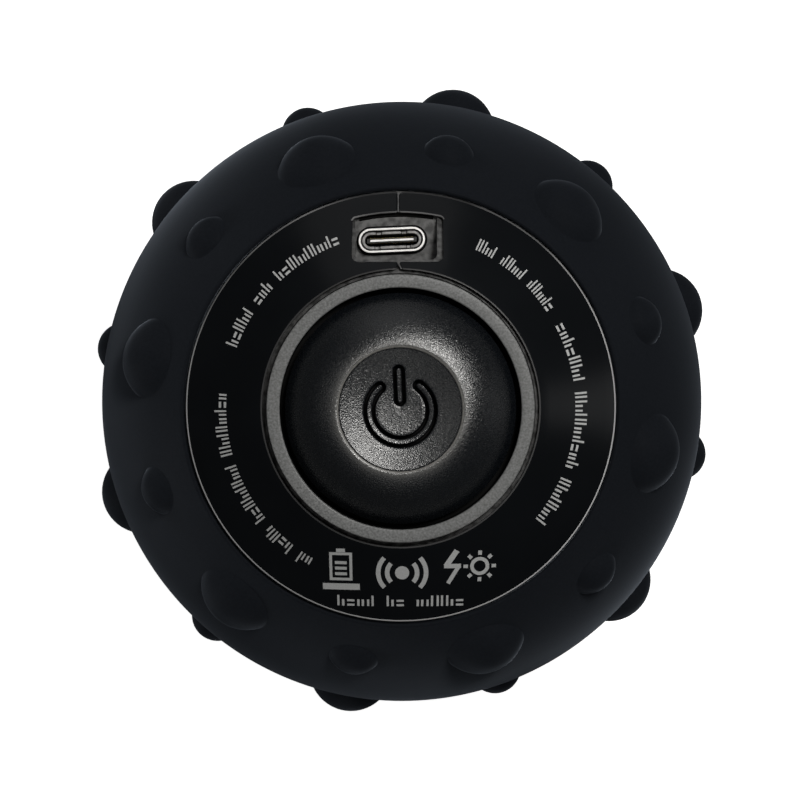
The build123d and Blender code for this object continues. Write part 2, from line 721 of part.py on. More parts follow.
def motor_shaft():
    return barrel(SHAFT_R, -SHAFT_HALF, SHAFT_HALF)


def rotor_core():
    """Three-pole laminated core."""
    core = barrel(3.6, -6.5, 6.5)
    for i in range(3):
        shoe = sleeve_on_motor(8.9, 7.5, -6.5, 6.5)
        wedge = Pos(0, 0, MOTOR_Z + 8.5) * Box(13, 14.5, 20)
        neck = Pos(0, 0, MOTOR_Z + 5.4) * Box(13, 2.6, 5)
        pole = (shoe & wedge) + neck
        core += Pos(0, 0, MOTOR_Z) * Rot(120 * i, 0, 0) * Pos(0, 0, -MOTOR_Z) * pole
    return core - barrel(SHAFT_R + 0.005, -7, 7)


def rotor_windings():
    coils = []
    for i in range(3):
        coil = Pos(0, 0, MOTOR_Z + 5.25) * Box(17, 6.0, 2.7)
        coil = fillet(coil.edges().filter_by(Axis.Z), 0.6)
        coil -= Pos(0, 0, MOTOR_Z + 5.25) * Box(13.04, 2.64, 4)
        coils.append(Pos(0, 0, MOTOR_Z) * Rot(120 * i, 0, 0) * Pos(0, 0, -MOTOR_Z) * coil)
    return group(coils)


def commutator():
    drum = sleeve_on_motor(3.0, SHAFT_R + 0.005, 9.2, 12.2)
    for i in range(3):
        slot = Pos(10.7, 0, MOTOR_Z) * Rot(120 * i + 60, 0, 0) * Pos(0, 0, 2.9) * Box(3.2, 0.3, 0.6)
        drum -= slot
    return drum


def eccentric_weight(side):
    """A half disc pressed on the shaft, whose centre of mass lies off the axis."""
    x0, x1 = sorted((side * WEIGHT_X[0], side * WEIGHT_X[1]))
    disc_part = barrel(WEIGHT_R, x0, x1) & block(-40, 40, -20, 20, MOTOR_Z - 20, MOTOR_Z)
    weight = disc_part + barrel(3.5, x0, x1)
    return weight - barrel(SHAFT_R + 0.005, x0, x1)


def motor_lead(side):
    """A lead from a motor terminal up to the main board."""
    y = 6.0 * side
    points = [
        (MOTOR_HALF + 1.0, y, MOTOR_Z + 7.4),
        (MOTOR_HALF + 1.0, y, 18.5),
        (13.5, y * 0.8, 22.0),
        (13.5, y * 0.8, BOARD_BOTTOM - 0.05),
    ]
    return wire(0.5, points, [3.0, 3.0])


# ---- motor cradle ---------------------------------------------------------------------------------------
def motor_cradle():
    plate = disc(CRADLE_R, CRADLE_BOTTOM, CRADLE_TOP)
    for x, y in MAIN_CORNERS:
        plate -= Pos(x, y, 0) * disc(MAIN_TUBE_R + 0.9, CRADLE_BOTTOM, CRADLE_TOP)
    for x in (-SADDLE_X, SADDLE_X):
        half_w = SADDLE_W / 2
        plate += block(x - half_w, x + half_w, -20, 20, CRADLE_TOP - 0.5, MOTOR_Z - 0.1)
    plate -= barrel(BAND_R + 0.02, -20, 20)
    for x, y in CRADLE_BOSSES:
        plate -= Pos(x, y, 0) * disc(1.2, CRADLE_BOTTOM, CRADLE_TOP)
    for x, y in CLAMP_PLACES:
        plate -= Pos(x, y, 0) * disc(1.04, MOTOR_Z - 8, MOTOR_Z)
    for side in (-1, 1):
        plate -= block(30.6, CRADLE_R + 1, side * 9.5 - 4.5, side * 9.5 + 4.5, CRADLE_BOTTOM, CRADLE_TOP)
    return plate


def cradle_screws():
    one = Rot(180, 0, 0) * screw(1.0, 7.0, 2.0, 1.4)
    return group(Pos(x, y, CRADLE_TOP + 0.02) * one for x, y in CRADLE_BOSSES)


def motor_bands():
    bands = []
    for x in (-SADDLE_X, SADDLE_X):
        bands.append(sleeve_on_motor(BAND_R, MOTOR_R + 0.02, x - BAND_W / 2, x + BAND_W / 2))
    return group(bands)


def motor_clamps():
    straps = []
    for x in (-SADDLE_X, SADDLE_X):
        x0, x1 = x - SADDLE_W / 2, x + SADDLE_W / 2
        strap = barrel(BAND_R + 0.02 + CLAMP_T, x0, x1)
        strap += block(x0, x1, -20, 20, MOTOR_Z, MOTOR_Z + 2.4)
        strap -= barrel(BAND_R + 0.02, x0, x1)
        strap -= block(x0, x1, -25, 25, MOTOR_Z - 20, MOTOR_Z)
        for y in (-CLAMP_EAR_Y, CLAMP_EAR_Y):
            strap -= Pos(x, y, 0) * disc(1.2, MOTOR_Z - 1, MOTOR_Z + 3)
        straps.append(strap)
    return group(straps)


def clamp_screws():
    one = Rot(180, 0, 0) * screw(1.0, 8.0, 1.8, 1.3)
    return group(Pos(x, y, MOTOR_Z + 2.42) * one for x, y in CLAMP_PLACES)


# ---- the nodes ------------------------------------------------------------------------------------------
def main():
    os.makedirs("parts", exist_ok=True)
    builders = [
        silicone_sleeve, front_shell, rear_shell, shell_screws,
        face_panel, panel_glue, light_ring, light_ring_screws, power_button,
        switch_base, switch_cover, switch_dome, switch_plunger, switch_terminals,
        main_board, board_screws, ring_leds, controller_chip, charger_chip, motor_driver,
        power_inductor, flyback_diode, bulk_capacitor, chip_capacitors, chip_resistors,
        usb_shell, usb_tongue, usb_contacts,
        battery_cell, battery_guard_board, battery_tape, battery_foam, battery_socket, battery_plug,
        motor_can, motor_end_bell, motor_bushings, motor_magnets, motor_terminals, motor_brushes,
        motor_shaft, rotor_core, rotor_windings, commutator,
        motor_cradle, cradle_screws, motor_bands, motor_clamps, clamp_screws,
    ]
    for build in builders:
        save(build.__name__, build())
    for name, side in (("left", -1), ("right", 1)):
        save(f"eccentric_weight_{name}", eccentric_weight(side))
    for name, side in (("red", 1), ("black", -1)):
        save(f"battery_lead_{name}", battery_lead(side))
        save(f"motor_lead_{name}", motor_lead(side))


main()
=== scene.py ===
"""Looks of the massage ball: its outer pieces, materials, lights and camera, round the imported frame."""

import json
import math

import bmesh
import bpy
from mathutils import Matrix, Vector
from mathutils.geometry import delaunay_2d_cdt


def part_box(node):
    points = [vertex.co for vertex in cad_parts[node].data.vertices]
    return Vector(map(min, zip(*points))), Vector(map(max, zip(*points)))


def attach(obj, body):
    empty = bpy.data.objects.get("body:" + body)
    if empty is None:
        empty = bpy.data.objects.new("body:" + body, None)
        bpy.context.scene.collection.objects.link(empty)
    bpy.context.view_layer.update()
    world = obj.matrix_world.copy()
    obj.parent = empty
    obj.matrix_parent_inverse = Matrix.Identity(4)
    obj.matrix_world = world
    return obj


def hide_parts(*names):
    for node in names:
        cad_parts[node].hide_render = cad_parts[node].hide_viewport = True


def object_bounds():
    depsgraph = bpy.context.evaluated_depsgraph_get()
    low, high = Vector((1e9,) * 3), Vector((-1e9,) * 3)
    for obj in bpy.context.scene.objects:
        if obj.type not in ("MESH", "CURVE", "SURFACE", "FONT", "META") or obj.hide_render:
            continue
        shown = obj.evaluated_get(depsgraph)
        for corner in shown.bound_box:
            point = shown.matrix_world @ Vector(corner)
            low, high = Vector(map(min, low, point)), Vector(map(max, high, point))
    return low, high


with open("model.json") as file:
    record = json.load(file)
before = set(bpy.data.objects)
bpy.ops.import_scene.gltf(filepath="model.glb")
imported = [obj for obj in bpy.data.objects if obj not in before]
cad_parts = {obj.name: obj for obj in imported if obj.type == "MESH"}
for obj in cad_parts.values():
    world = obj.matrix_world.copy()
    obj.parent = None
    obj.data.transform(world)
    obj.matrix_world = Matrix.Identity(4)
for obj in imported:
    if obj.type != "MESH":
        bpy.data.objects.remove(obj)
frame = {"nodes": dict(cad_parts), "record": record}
cad_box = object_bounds()

# ---- sizes, in millimetres, heights from the ball's own centre ----
MM = 0.001
SEGMENTS = 288               # steps round a turned shape
SHELL_R = 42.3
BALL_R = 45.5
SLEEVE_INNER_R = 42.5
MOUTH_R = 29.5
MOUTH_EDGE = 0.45            # radius of the mouth's rolled edge

BIG_BUMP = (6.45, 48.4)      # dome radius, and its tip from the ball's centre
SMALL_BUMP = (4.0, 47.4)
FIRST_BIG = 19.3             # azimuth of the first big bump, in degrees
FRONT_ROW = 52.3             # angle of a row of bumps from the button's axis, in degrees
REST_RING = 162.0
CREASE = 0.10                # softness of the crease round a bump
SKIN_SPACING = 1.25          # between the points of the skin, away from its bumps

FACE_R_OUT = 29.2
FACE_Z_OUT = 34.9
FACE_R_IN = 18.3
FACE_Z_IN = 42.3
FACE_SLOPE = (FACE_Z_IN - FACE_Z_OUT) / (FACE_R_OUT - FACE_R_IN)
FACE_COS = math.cos(math.atan(FACE_SLOPE))
FACE_T = 0.6
FACE_EDGE = 0.22
# the rounding of the panel's edges: share of its width still to go, and share of its depth reached
FACE_ROUNDING = ((0.35, 0.10), (0.15, 0.22), (0.04, 0.5), (0.0, 1.0))
SLIT_X = -0.35
SLIT_W = 0.24
SLIT_SLANT = 0.45            # the slit leans to the right below the port
PORTHOLE_X = (-6.47, 5.67)
PORTHOLE_Y = 19.4
PORTHOLE_R = 26.2
LEFT_END_ROUND = 0.25        # rounding of the slit's corners at the panel's outer edge
RIGHT_END_ROUND = 0.65
LEFT_INNER_ROUND = 0.72      # and at its inner edge
RIGHT_INNER_ROUND = 0.3
SLIT_PORT_ROUND = 0.25       # where the slit meets the porthole
PORTHOLE_ROUNDS = (0.5, 0.9)    # its corners far from the button, and those near it

PRINT_LIFT = 0.012
PRINT_DEPTH = 0.03
PRINT_R = (23.35, 25.05)     # the curved rows of marks run between these
# each row: where it starts and ends, in degrees, and how many marks its groups hold
PRINT_ROWS = (
    (160, 110, (5, 3, 9)),
    (240, 175, (2, 4, 8, 8)),
    (65, 33, (3, 4, 5)),
    (28, -40, (7, 9, 6)),
)
# each mark: its strokes as (left, right, bottom, top) shares of its cell
PRINT_MARKS = (
    ((0.08, 0.30, 0, 1), (0.55, 0.80, 0, 0.62)),
    ((0.10, 0.34, 0, 0.62), (0.55, 0.79, 0, 0.62)),
    ((0.12, 0.34, 0, 1), (0.56, 0.78, 0, 1)),
    ((0.08, 0.82, 0, 0.2), (0.08, 0.82, 0.42, 0.62)),
    ((0.10, 0.32, 0, 0.62), (0.55, 0.77, 0, 1)),
)
PRINT_LINE = (4, 2, 5)       # groups of marks in the straight row, its width, place and height
PRINT_LINE_W = 17.4
PRINT_LINE_Y = -26.9
PRINT_LINE_H = 1.55

RING_R_OUT = 17.65
RING_R_IN = 15.9
RING_TOP = 43.6
RING_EDGE = 0.22
RING_LIT_DEPTH = 0.35        # below this the ring is painted black, as shade in the gaps beside it
RING_SHELF = 40.2
RING_TUBE_R = 18.5
RING_TUBE_BORE = 17.15
RING_TUBE_BOTTOM = 29.2
SHELL_SHELF = 41.0

BUTTON_R = 15.25
FLANGE_R = 17.1
FLANGE = (38.25, 40.15)
DISH_R = 8.05
DISH_LOW = 46.1              # height of the dish's middle, and its rise from there to its rim
DISH_RISE = 1.1
DISH_END_R = 7.86            # where the dish meets the groove round it
GATE_R = 0.6                 # the dimple that the mould's gate left in the middle
GATE_DEPTH = 0.06
# the groove round the dish and the lip beyond it, as (radius, height)
GROOVE = ((7.90, 47.06), (7.96, 47.02), (8.01, 47.06), (8.04, 47.18))
LIP = ((8.08, 47.22), (8.24, 47.27), (8.36, 47.30), (8.42, 47.305))
LIP_HIGHLIGHT_R = (8.05, 8.24)    # the lip is painted pale between these, as a painted highlight
CREST_HIGHLIGHT_W = 2.0                 # width of the band over which the painted highlight beside the lip fades
DOME_SLOPE = (8, 48, 0.82)   # degrees at the lip, degrees added by the edge, and the power they grow with
DOME_STEPS = 40
SKIRT = 0.8                  # the first ring of the cap's wall lies this far below its edge
# the hollow under the cap, as (radius, height)
UNDERSIDE = ((13.6, FLANGE[0]), (13.6, 41.6), (10.5, 44.6), (3.2, 44.1))
SYMBOL_R = 4.05
SYMBOL_GAP = 38.7            # degrees from the top to the arc's ends
SYMBOL_BAR = (1.38, 5.2)     # ends of the bar's middle line
SYMBOL_Y = -0.2
SYMBOL_FIELD_R = 6.4         # the symbol lies within this
SYMBOL_SPACING = 0.3         # between the points of the dish round the symbol
TURN = math.radians(2.5)     # of the symbol and the socket
# the symbol's channel with the rib in its middle: distance from the middle line, and height
CHANNEL = (
    (0.0, -0.12), (0.20, -0.13), (0.29, -0.19), (0.33, -0.50), (0.37, -1.2), (0.44, -1.5),
    (0.62, -1.5), (0.69, -1.1), (0.74, -0.40), (0.78, -0.10), (0.83, -0.03), (0.90, 0.0),
)
# between these distances the channel is painted black, as shade in its depths
CHANNEL_SHADE = (0.34, 0.75)

USB_AT = (-1.2, 22.55)
USB_W = 8.94
USB_H = 3.26
USB_WALL = 0.3
USB_MOUTH = 36.95
USB_EDGE = 0.05
USB_PROUD = 0.02             # of the shell's outside beyond its nominal size
LINING_DROP = 0.45           # of the lining below the socket's mouth
LINING_LOW = 30.7
LINING = (-0.46, -0.86)      # its two sides, as offsets from the shell's outside
LINING_EDGE = 0.06
# notches in the lining: place along the socket, and which of its long sides
LINING_NOTCHES = ((-1.7, 1), (1.7, 1), (-2.0, -1), (2.2, -1))
NOTCH_HALF = 0.30
NOTCH_DEPTH = 0.55
TONGUE_W = 5.9
TONGUE_T = 0.32
TONGUE_DROP = 0.60
TONGUE_EDGE = 0.04
BOARD_TOP = 28.0
POCKET_FLOOR = 35.7
# the seal round the shell's foot, as (offset, height above the pocket's floor)
SEAL = ((0.03, -0.1), (0.32, -0.1), (0.32, 0.08), (0.22, 0.16), (0.03, 0.16))
# a black bead of painted shade under the panel's far edge over the pocket
BEAD = 0.24
BEAD_R = 25.95               # of the line that the pocket's bead follows
BEAD_ENDS = (-5.6, 4.4)      # where the bead ends, on a circle of this radius
BEAD_END_R = 26

# the ball's centre is one shell radius above the rear shell's lowest point
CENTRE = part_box("rear_shell")[0].z + SHELL_R * MM


# ---- mesh helpers ----
def make_piece(name, points, faces, body, material, sharp=40.0):
    """A mesh piece from points in millimetres about the ball's centre."""
    mesh = bpy.data.meshes.new(name)
    mesh.from_pydata([(x * MM, y * MM, z * MM + CENTRE) for x, y, z in points], [], faces)
    mesh.validate()
    shape = bmesh.new()
    shape.from_mesh(mesh)
    bmesh.ops.remove_doubles(shape, verts=shape.verts, dist=1e-7)
    bmesh.ops.recalc_face_normals(shape, faces=shape.faces)
    shape.to_mesh(mesh)
    shape.free()
    mesh.polygons.foreach_set("use_smooth", [True] * len(mesh.polygons))
    mesh.set_sharp_from_angle(angle=math.radians(sharp))
    mesh.materials.append(material)
    piece = bpy.data.objects.new(name, mesh)
    bpy.context.scene.collection.objects.link(piece)
    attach(piece, body)
    return piece


def ring_faces(first, second, count):
    """Quads between two rings of points with the same count."""
    faces = []
    for i in range(count):
        j = (i + 1) % count
        faces.append((first + i, first + j, second + j, second + i))
    return faces


def lathe(profile, closed=True):
    """Points and faces of a turned shape; a closed profile makes a ring."""
    points, faces = [], []
    for radius, z in profile:
        for i in range(SEGMENTS):
            a = 2 * math.pi * i / SEGMENTS
            points.append((radius * math.cos(a), radius * math.sin(a), z))
    rows = len(profile)
    for row in range(rows if closed else rows - 1):
        faces += ring_faces(row * SEGMENTS, ((row + 1) % rows) * SEGMENTS, SEGMENTS)
    return points, faces


def arc(cx, cy, radius, start, end, steps):
    """Points on an arc, in degrees, both ends included."""
    points = []
    for i in range(steps + 1):
        a = math.radians(start + (end - start) * i / steps)
        points.append((cx + radius * math.cos(a), cy + radius * math.sin(a)))
    return points


def rounded(corners, steps=6):
    """A closed outline from (x, y, radius) corners, each with its rounding."""
    outline = []
    count = len(corners)
    for i, (x, y, radius) in enumerate(corners):
        if radius == 0:
            outline.append((x, y))
            continue
        here = Vector((x, y))
        before = (Vector(corners[i - 1][:2]) - here).normalized()
        after = (Vector(corners[(i + 1) % count][:2]) - here).normalized()
        half = before.angle(after) / 2
        middle = here + (before + after).normalized() * radius / math.sin(half)
        first = here + before * radius / math.tan(half) - middle
        last = here + after * radius / math.tan(half) - middle
        turn = first.angle_signed(last)
        for k in range(steps + 1):
            a = -turn * k / steps
            c, s = math.cos(a), math.sin(a)
            outline.append((middle.x + c * first.x - s * first.y, middle.y + s * first.x + c * first.y))
    return outline


def inset(outline, distance):
    """An anticlockwise outline moved inwards."""
    moved = []
    count = len(outline)
    for i in range(count):
        x, y = outline[i]
        ax, ay = outline[i - 1]
        bx, by = outline[(i + 1) % count]
        one = Vector((-(y - ay), x - ax)).normalized()
        two = Vector((-(by - y), bx - x)).normalized()
        middle = (one + two).normalized()
        reach = distance / max(0.5, middle.dot(one))
        moved.append((x + middle.x * reach, y + middle.y * reach))
    return moved


def triangulate(loops, inner):
    """Flat triangles inside closed loops, using extra inner points. The loops' points come first."""
    points, edges = [], []
    for loop in loops:
        start = len(points)
        points += [Vector(p) for p in loop]
        count = len(loop)
        edges += [(start + i, start + (i + 1) % count) for i in range(count)]
    points += [Vector(p) for p in inner]
    flat, _, faces, _, _, _ = delaunay_2d_cdt(points, edges, [], 1, 1e-7)
    return [tuple(p) for p in flat], faces


# ---- materials ----
def set_shader(material, values):
    """Sets the shader's own inputs."""
    shader = material.node_tree.nodes["Principled BSDF"]
    for name, value in values.items():
        shader.inputs[name].default_value = value


def new_material(name, color, roughness, metallic=0.0, specular=0.5):
    """A material with the shader's plain values, before any texture is linked to them."""
    material = bpy.data.materials.new(name)
    material.use_nodes = True
    values = {"Base Color": (*color, 1.0), "Roughness": roughness, "Metallic": metallic}
    set_shader(material, {**values, "Specular IOR Level": specular})
    return material


def add_node(material, kind, inputs, operation=None):
    """A shader node, whose inputs are values or other nodes' outputs."""
    node = material.node_tree.nodes.new("ShaderNode" + kind)
    if operation:
        node.operation = operation
    for key, value in inputs.items():
        if isinstance(value, bpy.types.NodeSocket):
            material.node_tree.links.new(value, node.inputs[key])
        else:
            node.inputs[key].default_value = value
    return node


def shaded_point(material):
    """The point being shaded, in the object's own metres."""
    return add_node(material, "TexCoord", {}).outputs["Object"]


def noise(material, scale, detail=4.0, stretch=(1, 1, 1)):
    """A noise texture in the object's own metres."""
    mapping = add_node(material, "Mapping", {"Vector": shaded_point(material), "Scale": stretch})
    inputs = {"Vector": mapping.outputs["Vector"], "Scale": scale, "Detail": detail}
    return add_node(material, "TexNoise", inputs).outputs["Fac"]


def ramp(material, value, stops):
    """Turns a value into colours between its stops."""
    node = add_node(material, "ValToRGB", {"Fac": value})
    elements = node.color_ramp.elements
    while len(elements) < len(stops):
        elements.new(0.5)
    for element, (position, color) in zip(elements, stops):
        element.position = position
        element.color = (*color, 1.0)
    return node.outputs["Color"]


def remap(material, value, low, high, start=0.0, end=1.0):
    """Maps a value between start and end to a range."""
    inputs = {"Value": value, "From Min": start, "From Max": end, "To Min": low, "To Max": high}
    return add_node(material, "MapRange", inputs).outputs["Result"]


def feed(material, socket, output):
    """Links a node's output to one of the shader's inputs."""
    shader = material.node_tree.nodes["Principled BSDF"]
    material.node_tree.links.new(output, shader.inputs[socket])


def bump(material, value, strength, distance):
    """Raises the shaded surface by a value, with a distance in metres."""
    node = add_node(material, "Bump", {"Height": value, "Strength": strength, "Distance": distance})
    feed(material, "Normal", node.outputs["Normal"])


def shade(color, amount):
    """A colour made darker or lighter."""
    return tuple(min(1.0, c * amount) for c in color)


def textured(name, color, roughness, metallic=0.0, specular=0.5, spread=0.15, scale=900.0, grain=0.3,
             depth=0.00002, stretch=(1, 1, 1)):
    """A material whose colour, roughness and surface all vary a little with one noise."""
    material = new_material(name, color, roughness, metallic, specular)
    fine = noise(material, scale, 4.0, stretch)
    colors = ramp(material, fine, [(0.3, shade(color, 1 - spread)), (0.7, shade(color, 1 + spread))])
    feed(material, "Base Color", colors)
    broad = noise(material, scale / 12, 3.0, stretch)
    feed(material, "Roughness", remap(material, broad, roughness * 0.85, roughness * 1.15))
    bump(material, fine, grain, depth)
    return material


def silicone_material():
    """Matte black rubber with a faint bluish sheen towards its outline."""
    color = (0.0107, 0.0124, 0.0157)
    material = textured("silicone", color, 0.6, specular=0.015, spread=0.10, scale=2600.0, grain=0.25,
                        depth=0.00003)
    bluish = (0.75, 0.85, 1.0, 1.0)
    set_shader(material, {"Sheen Weight": 0.17, "Sheen Roughness": 0.35, "Sheen Tint": bluish})
    return material


def panel_material():
    """Black gloss print, a little uneven."""
    color = (0.0052, 0.0062, 0.0076)
    material = new_material("panel_gloss", color, 0.24, specular=0.35)
    broad = noise(material, 90.0, 3.0)
    feed(material, "Roughness", remap(material, broad, 0.21, 0.28))
    feed(material, "Base Color", ramp(material, broad, [(0.3, shade(color, 0.9)), (0.7, shade(color, 1.15))]))
    bump(material, noise(material, 300.0, 1.0), 0.02, 0.00001)
    return material


def across(material, direction, span):
    """0..1 from one side of the object to the other, along a direction, with some noise."""
    dot = add_node(material, "VectorMath", {0: shaded_point(material), 1: direction}, "DOT_PRODUCT")
    share = remap(material, dot.outputs["Value"], 0.0, 1.0, -span, span)
    inputs = {0: noise(material, 60.0, 2.0), 1: 0.5, 2: share}
    return add_node(material, "Math", inputs, "MULTIPLY_ADD").outputs["Value"]


def edge_highlight_material(name, low, high):
    """The panel's cut edge, painted pale as a highlight, and painted lighter still on the side away from the
    socket, where the light falls on it.
    """
    material = new_material(name, high, 0.45)
    # painted highlight: lighter towards the side away from the socket, which faces the light
    side = across(material, (0, -1, 0), 0.03)
    stops = [(0.34, low), (0.52, shade(high, 0.6)), (0.95, high)]
    feed(material, "Base Color", ramp(material, side, stops))
    feed(material, "Roughness", remap(material, noise(material, 900.0), 0.38, 0.52))
    bump(material, noise(material, 1600.0), 0.2, 0.00002)
    return material


def ring_material():
    """Frosted plastic that lets a little light in."""
    color = (0.196, 0.200, 0.200)
    material = new_material("frosted_diffuser", color, 0.42)
    fine = noise(material, 3600.0, 2.0)
    colors = ramp(material, fine, [(0.32, shade(color, 0.68)), (0.68, shade(color, 1.28))])
    feed(material, "Base Color", colors)
    feed(material, "Roughness", remap(material, noise(material, 700.0), 0.36, 0.5))
    bump(material, fine, 0.3, 0.00003)
    reach = (0.001, 0.001, 0.001)
    set_shader(material, {"Subsurface Weight": 0.15, "Subsurface Radius": reach, "Subsurface Scale": 0.5})
    return material


def crest_highlight(material, color):
    """A colour to add: a painted highlight in a band just outside the button's dish, that fades outwards."""
    flat = add_node(material, "VectorMath", {0: shaded_point(material), 1: (1, 1, 0)}, "MULTIPLY")
    radius = add_node(material, "VectorMath", {0: flat.outputs["Vector"]}, "LENGTH")
    share = remap(material, radius.outputs["Value"], 0.0, 1.0, DISH_R * MM, (DISH_R + CREST_HIGHLIGHT_W) * MM)
    black = (0, 0, 0)
    stops = [(0.0, black), (0.04, color), (0.25, shade(color, 0.6)), (0.5, shade(color, 0.15)), (0.8, black)]
    return ramp(material, share, stops)


def button_material():
    """Satin black plastic with a sparkling grain, and a painted highlight round its dish."""
    color = (0.0050, 0.0064, 0.0085)
    material = new_material("button_satin", color, 0.28, specular=0.95)
    set_shader(material, {"IOR": 1.6})
    fine = noise(material, 5200.0, 3.0)
    grain = ramp(material, fine, [(0.35, shade(color, 0.8)), (0.7, shade(color, 1.35))])
    # a painted highlight round the dish, added to the grain's colour
    highlight = crest_highlight(material, (0.115, 0.113, 0.106))
    both = add_node(material, "VectorMath", {0: grain, 1: highlight}, "ADD")
    feed(material, "Base Color", both.outputs["Vector"])
    feed(material, "Roughness", remap(material, noise(material, 4200.0, 2.0), 0.19, 0.38, 0.38, 0.62))
    bump(material, fine, 1.0, 0.000065)
    return material


def pocket_material():
    """For the front shell, which shows in the socket's pocket as a dulled, mottled moulding."""
    color = (0.070, 0.070, 0.070)
    material = new_material("pocket_plastic", color, 0.5)
    mottle = noise(material, 1100.0, 5.0)
    colors = ramp(material, mottle, [(0.36, shade(color, 0.40)), (0.64, shade(color, 1.9))])
    feed(material, "Base Color", colors)
    feed(material, "Roughness", remap(material, noise(material, 400.0), 0.42, 0.60))
    bump(material, mottle, 0.35, 0.00006)
    return material


MATERIALS = {
    "silicone": silicone_material(),
    "panel_gloss": panel_material(),
    "diffuser": ring_material(),
    "button_plastic": button_material(),
    "print": textured("white_print", (0.62, 0.63, 0.63), 0.55, spread=0.10, scale=5200.0, grain=0.2,
                      depth=0.00001),
    # the panel's edges: painted highlights, lighter on the side away from the socket
    "panel_edge_highlight": edge_highlight_material("panel_edge_highlight", (0.035, 0.035, 0.037), (0.78, 0.78, 0.79)),
    "panel_inner_edge_highlight": edge_highlight_material("panel_inner_edge_highlight", (0.018, 0.018, 0.019), (0.07, 0.07, 0.072)),
    # the button's lip, painted pale as a highlight
    "button_lip_highlight": textured("button_lip_highlight", (0.20, 0.196, 0.185), 0.36, spread=0.3, scale=3600.0),
    "seam_filler": textured("seam_filler", (0.16, 0.16, 0.165), 0.6, spread=0.4, scale=1400.0),
    "pocket_plastic": pocket_material(),
    "socket_steel": textured("socket_steel", (0.86, 0.85, 0.84), 0.52, 1.0, spread=0.06, scale=2400.0,
                             grain=0.1),
    "lining_steel": textured("lining_steel", (0.27, 0.265, 0.265), 0.55, 1.0, spread=0.35, scale=1500.0,
                             grain=0.3),
    "deep_black": textured("deep_black", (0.004, 0.004, 0.004), 0.7, specular=0.1, scale=3000.0),
    "shell_plastic": textured("shell_plastic", (0.03, 0.03, 0.031), 0.42, scale=3500.0, grain=0.35),
    "adhesive": textured("adhesive", (0.6, 0.57, 0.48), 0.6),
    "screw_steel": textured("screw_steel", (0.45, 0.45, 0.46), 0.35, 1.0, scale=2500.0),
    "tinned_steel": textured("tinned_steel", (0.72, 0.71, 0.69), 0.22, 1.0, spread=0.06, scale=1800.0,
                             grain=0.1),
    "black_plastic": textured("black_plastic", (0.012, 0.012, 0.012), 0.45, scale=3000.0),
    "board_mask": textured("board_mask", (0.01, 0.075, 0.03), 0.32, scale=1200.0),
    "led_white": textured("led_white", (0.75, 0.7, 0.45), 0.4, scale=3000.0),
    "chip_epoxy": textured("chip_epoxy", (0.018, 0.018, 0.02), 0.55, scale=3500.0),
    "ferrite": textured("ferrite", (0.05, 0.05, 0.055), 0.6, scale=3000.0, grain=0.5),
    "ceramic_tan": textured("ceramic_tan", (0.38, 0.26, 0.13), 0.45, scale=3500.0),
    "can_aluminium": textured("can_aluminium", (0.62, 0.63, 0.65), 0.28, 1.0, scale=900.0,
                              stretch=(1, 1, 0.1)),
    "cell_foil": textured("cell_foil", (0.56, 0.57, 0.6), 0.35, 1.0, spread=0.08, scale=400.0,
                          depth=0.00008),
    "amber_tape": textured("amber_tape", (0.5, 0.22, 0.02), 0.25, scale=600.0),
    "foam": textured("foam", (0.03, 0.03, 0.032), 0.9, scale=2500.0, grain=0.8, depth=0.0001),
    "connector_white": textured("connector_white", (0.68, 0.65, 0.56), 0.4, scale=2500.0),
    "wire_red": textured("wire_red", (0.4, 0.012, 0.01), 0.38, scale=2200.0),
    "wire_black": textured("wire_black", (0.012, 0.012, 0.013), 0.4, scale=2200.0),
    "motor_steel": textured("motor_steel", (0.5, 0.5, 0.5), 0.32, 1.0, scale=1500.0, stretch=(0.1, 1, 1)),
    "magnet": textured("magnet", (0.06, 0.06, 0.06), 0.6, scale=3000.0, grain=0.5),
    "bronze": textured("bronze", (0.4, 0.24, 0.1), 0.5, 1.0, scale=3500.0, grain=0.5),
    "copper": textured("copper", (0.62, 0.22, 0.1), 0.3, 1.0, scale=1500.0, stretch=(0.1, 1, 1)),
    "contact_gold": textured("contact_gold", (0.78, 0.55, 0.2), 0.25, 1.0, scale=2500.0, grain=0.1),
    "weight_metal": textured("weight_metal", (0.32, 0.32, 0.33), 0.35, 1.0, scale=900.0, stretch=(0.2, 1,
                             1)),
    "cradle_plastic": textured("cradle_plastic", (0.03, 0.03, 0.033), 0.5, scale=3000.0, grain=0.4),
    "band_rubber": textured("band_rubber", (0.015, 0.015, 0.015), 0.7, scale=2000.0, grain=0.4),
}
# CAD nodes that don't wear their slot's own material
NODE_MATERIALS = {"front_shell": "pocket_plastic"}


def paint_frame():
    """Gives each CAD node the material of its slot."""
    slots = {row["node"]: row["material_slot"] for row in frame["record"]["subparts"]}
    for name, node in frame["nodes"].items():
        node.data.materials.clear()
        node.data.materials.append(MATERIALS[NODE_MATERIALS.get(name, slots[name])])


# ---- silicone sleeve ----
def direction(polar, azimuth):
    """The unit vector at angles, in degrees, from the button's axis and round it."""
    p, a = math.radians(polar), math.radians(azimuth)
    return Vector((math.sin(p) * math.cos(a), math.sin(p) * math.sin(a), math.cos(p)))


def one_bump(size, polar, azimuth):
    """(direction of the tip, dome radius, distance of its centre) of a bump."""
    dome_r, tip_r = size
    return direction(polar, azimuth), dome_r, tip_r - dome_r


